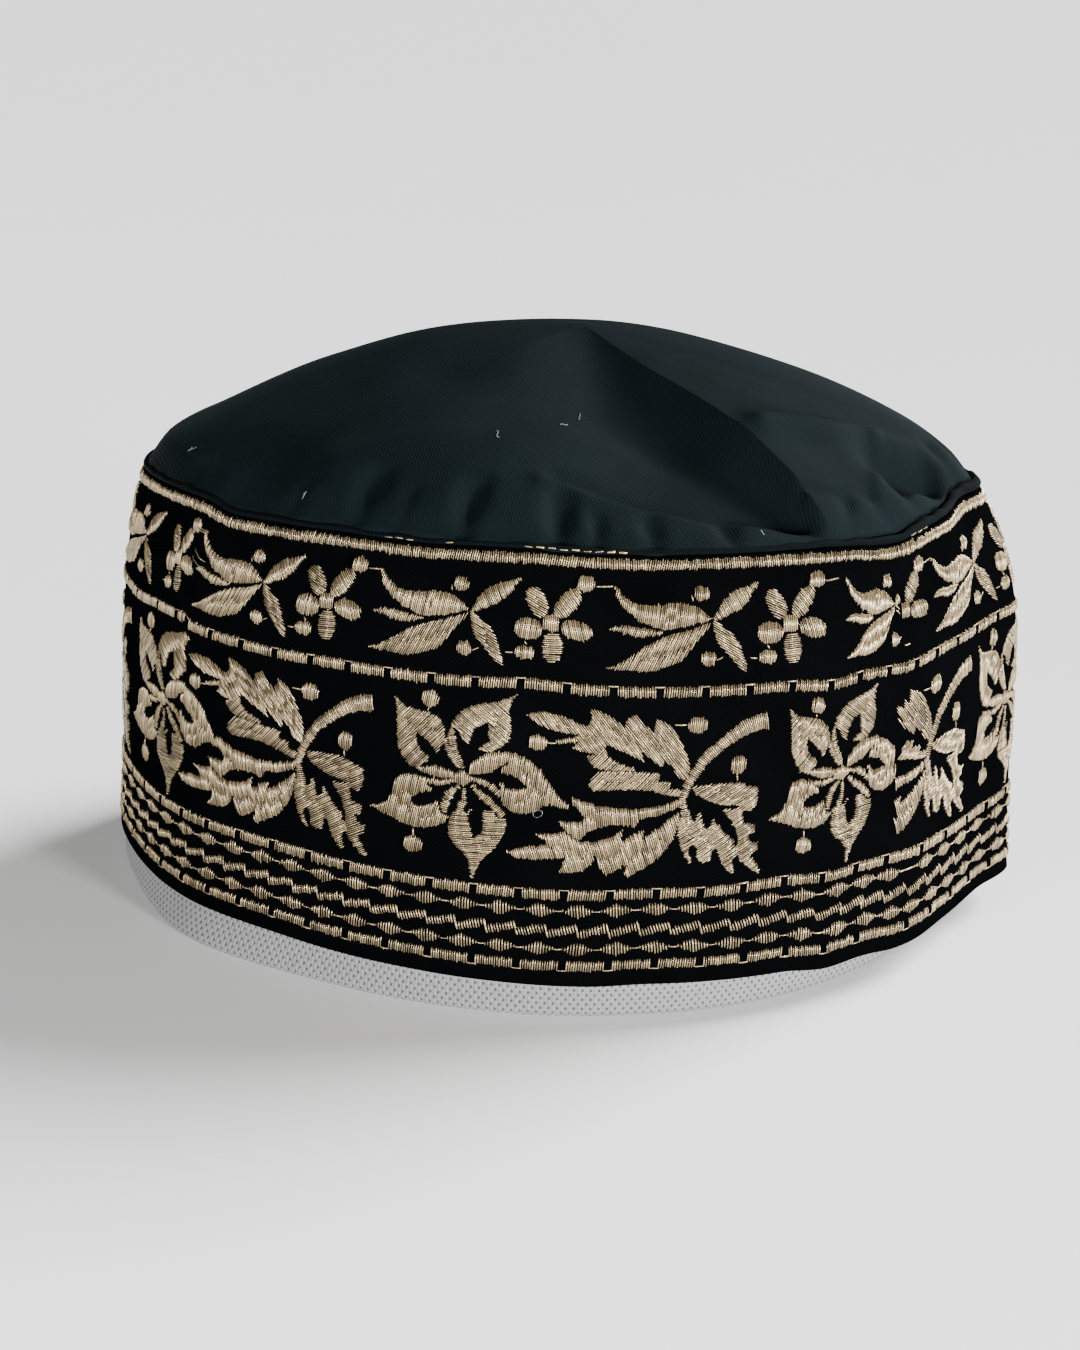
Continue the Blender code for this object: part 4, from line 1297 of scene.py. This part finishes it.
class KUFI_OT_sweatband(bpy.types.Operator):
    """Builds the white knitted sweatband that the cap stands on"""

    bl_idname = "kufi.sweatband"
    bl_label = "Build sweatband"

    def execute(self, context):
        at = np.arange(COLUMNS) * GIRTH / COLUMNS
        lower = around_closed([(row.at * MM, row.inset * MM) for row in TUCKS], at)[:, 0]
        shown = np.linspace(0, HEM_Z, EDGE_ROWS)
        heights = np.concatenate([shown, np.linspace(HEM_Z, SWEATBAND_TOP_Z, TUCKED_ROWS)[1:]])
        outer, inner = [], []
        for z in heights:
            hidden = wall_inset(np.array([max(z, HEM_Z)]))[0] + BAND_WALL + PIECE_GAP
            share = min(z / (HEM_Z - EDGE_RISE), 1.0)
            inset = lower * (1 - share) + np.maximum(lower, hidden) * share
            inset = inset + 0.9 * MM * max(1 - z / (1.5 * MM), 0) ** 2
            outer.append(np.stack([*around(at, inset), np.full(COLUMNS, z)], -1))
            inner.append(np.stack([*around(at, inset + SWEATBAND_WALL), np.full(COLUMNS, z)], -1))
        faces = grid_faces(2 * len(heights), COLUMNS, closed_rows=True)
        look = settings(context)
        knit = white_knit("white_knit", look.knit_color, look.knit_hole_step)
        piece = add_mesh("knit", np.array(outer + inner[::-1]), faces, knit)
        lay_map(piece, np.concatenate([heights, heights[::-1]]), COLUMNS)
        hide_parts("sweatband")
        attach(piece, "root")
        return {"FINISHED"}


class KUFI_OT_welt(bpy.types.Operator):
    """Builds the covered cord in the seam"""

    bl_idname = "kufi.welt"
    bl_label = "Build seam cord"

    def execute(self, context):
        at = np.arange(COLUMNS) * GIRTH / COLUMNS
        angle = np.arange(WELT_SIDES) * 2 * math.pi / WELT_SIDES
        rng = np.random.default_rng(5)
        knots = np.linspace(0, GIRTH, WELT_KNOTS)
        waver = np.interp(at, knots, rng.normal(0, 1, WELT_KNOTS), period=GIRTH)
        uneven = 1 + WELT_UNEVEN * waver
        radius = seam_cord(at)[0] * uneven
        seam_inset = wall_inset(np.array([BAND_TOP_Z]))[0]
        middle = seam_inset + corner_lean(at, BAND_TOP_Z) + radius - 0.1 * MM
        rows = [
            np.stack([*around(at, middle - radius * math.cos(a)),
                      seam_z(at) + PIECE_GAP / 2 + radius * (1 + math.sin(a))], -1)
            for a in angle
        ]
        cloth = black_cloth("welt_cloth", settings(context).crown_color, 0.3, 0.5, 0.85, 0.0, 0.03)
        faces = grid_faces(WELT_SIDES, COLUMNS, closed_rows=True)
        piece = add_mesh("seam_cord", np.array(rows), faces, cloth)
        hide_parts("crown_welt")
        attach(piece, "root")
        return {"FINISHED"}


class KUFI_OT_border(bpy.types.Operator):
    """Stitches the border rows, the divider and the line along the seam"""

    bl_idname = "kufi.border"
    bl_label = "Stitch border"

    def execute(self, context):
        rng = np.random.default_rng(11)
        look = settings(context)
        thread = gold_thread(look.thread_color)
        border = border_lines(rng) * MM
        thread_mesh("border_threads", border, thread, rng, look.border_thread_width)
        thread_mesh("seam_line_threads", top_lines(rng) * MM, thread, rng, look.thread_width)
        return {"FINISHED"}


class KUFI_OT_motifs(bpy.types.Operator):
    """Stitches the rows of flowers, leaves and sprigs"""

    bl_idname = "kufi.motifs"
    bl_label = "Stitch flowers and leaves"

    def execute(self, context):
        rng = np.random.default_rng(23)
        thread = bpy.data.materials["gold_thread"]
        for name, row, motif, cut in (
            ("flower_threads", MAIN_ROW, "flower", MAIN_JOIN_AT),
            ("leaf_threads", MAIN_ROW, "leaf", MAIN_JOIN_AT),
            ("sprig_threads", UPPER_ROW, "sprig", UPPER_JOIN_AT),
            ("blossom_threads", UPPER_ROW, "blossom", UPPER_JOIN_AT),
        ):
            lines = row_stitches(row, (motif,), cut, rng)
            thread_mesh(name, lines, thread, rng, settings(context).thread_width)
        return {"FINISHED"}


class KUFI_OT_lint(bpy.types.Operator):
    """Lays the lint, the loose thread ends and the loop of clear thread"""

    bl_idname = "kufi.lint"
    bl_label = "Add lint and loose threads"

    def execute(self, context):
        fluff, shader, place = new_material("lint", 0.9, 0.1)
        grain = place.node("ShaderNodeTexNoise", {}, {"Vector": place, "Scale": 400.0})
        dark, light = color((0.08, 0.09, 0.10)), color((0.26, 0.28, 0.28))
        feed(shader, "Base Color", grain.blend(dark, light))
        t = np.linspace(-1, 1, 9)
        specks = []
        for speck in LINT:
            turn = math.radians(speck.turn)
            wave = speck.bend * np.sin(t * 2.6)
            along = speck.length / 2 * t * math.cos(turn) - wave * math.sin(turn)
            down = speck.length / 2 * t * math.sin(turn) + wave * math.cos(turn)
            at, share = (speck.at + along) * MM, np.clip(speck.share + down / 70, 0, 0.995)
            specks.append(crown_surface(at, share)[np.arange(9), np.arange(9)] + (0, 0, 0.25 * MM))
        strand_mesh("lint", specks, 0.07 * MM, fluff)

        ends = []
        for path in LOOSE_ENDS:
            knots = np.array(path) * MM
            places = through(np.arange(len(knots)), knots, np.linspace(0, len(knots) - 1, 13))
            ends.append(band_face(places[:, 0], places[:, 1], places[:, 2]))
        strand_mesh("loose_thread_ends", ends, 0.14 * MM, bpy.data.materials["gold_thread"])

        clear, shader, place = new_material("clear_thread", 0.15, 0.6)
        shader.inputs["Transmission Weight"].default_value = 0.8
        grain = place.node("ShaderNodeTexNoise", {}, {"Vector": place, "Scale": 400.0})
        feed(shader, "Base Color", grain.blend(color((0.30, 0.32, 0.33)), color((0.45, 0.47, 0.48))))
        at, z, radius, thick = (value * MM for value in CLEAR_LOOP)
        angle = np.linspace(-0.4, 2 * math.pi + 0.3, 40)
        reach = radius * (1 + 0.12 * np.sin(2 * angle))
        lift = 0.9 * MM + 0.5 * MM * np.sin(angle)
        loop = band_face(at + reach * np.cos(angle), z + reach * np.sin(angle), lift)
        strand_mesh("clear_thread_loop", [loop], thick, clear)
        return {"FINISHED"}


OPERATORS = (
    KUFI_OT_stage, KUFI_OT_band, KUFI_OT_crown, KUFI_OT_sweatband, KUFI_OT_welt, KUFI_OT_border, KUFI_OT_motifs,
    KUFI_OT_lint,
)


class KUFI_PT_panel(bpy.types.Panel):
    """The cap's sizes, colours and build steps"""

    bl_idname = "KUFI_PT_panel"
    bl_label = "Kufi cap"
    bl_space_type = "VIEW_3D"
    bl_region_type = "UI"
    bl_category = "Kufi cap"

    def draw(self, context):
        for name in KufiSettings.__annotations__:
            self.layout.prop(context.scene.kufi, name)
        for kind in OPERATORS:
            self.layout.operator(kind.bl_idname)


CLASSES = (KufiSettings, *OPERATORS, KUFI_PT_panel)


def register():
    for kind in CLASSES:
        bpy.utils.register_class(kind)
    bpy.types.Scene.kufi = bpy.props.PointerProperty(type=KufiSettings)


def unregister():
    del bpy.types.Scene.kufi
    for kind in reversed(CLASSES):
        bpy.utils.unregister_class(kind)


def main():
    register()
    bpy.ops.kufi.stage()
    bpy.ops.kufi.band()
    bpy.ops.kufi.crown()
    bpy.ops.kufi.sweatband()
    bpy.ops.kufi.welt()
    bpy.ops.kufi.border()
    bpy.ops.kufi.motifs()
    bpy.ops.kufi.lint()


if __name__ == "__main__":
    main()
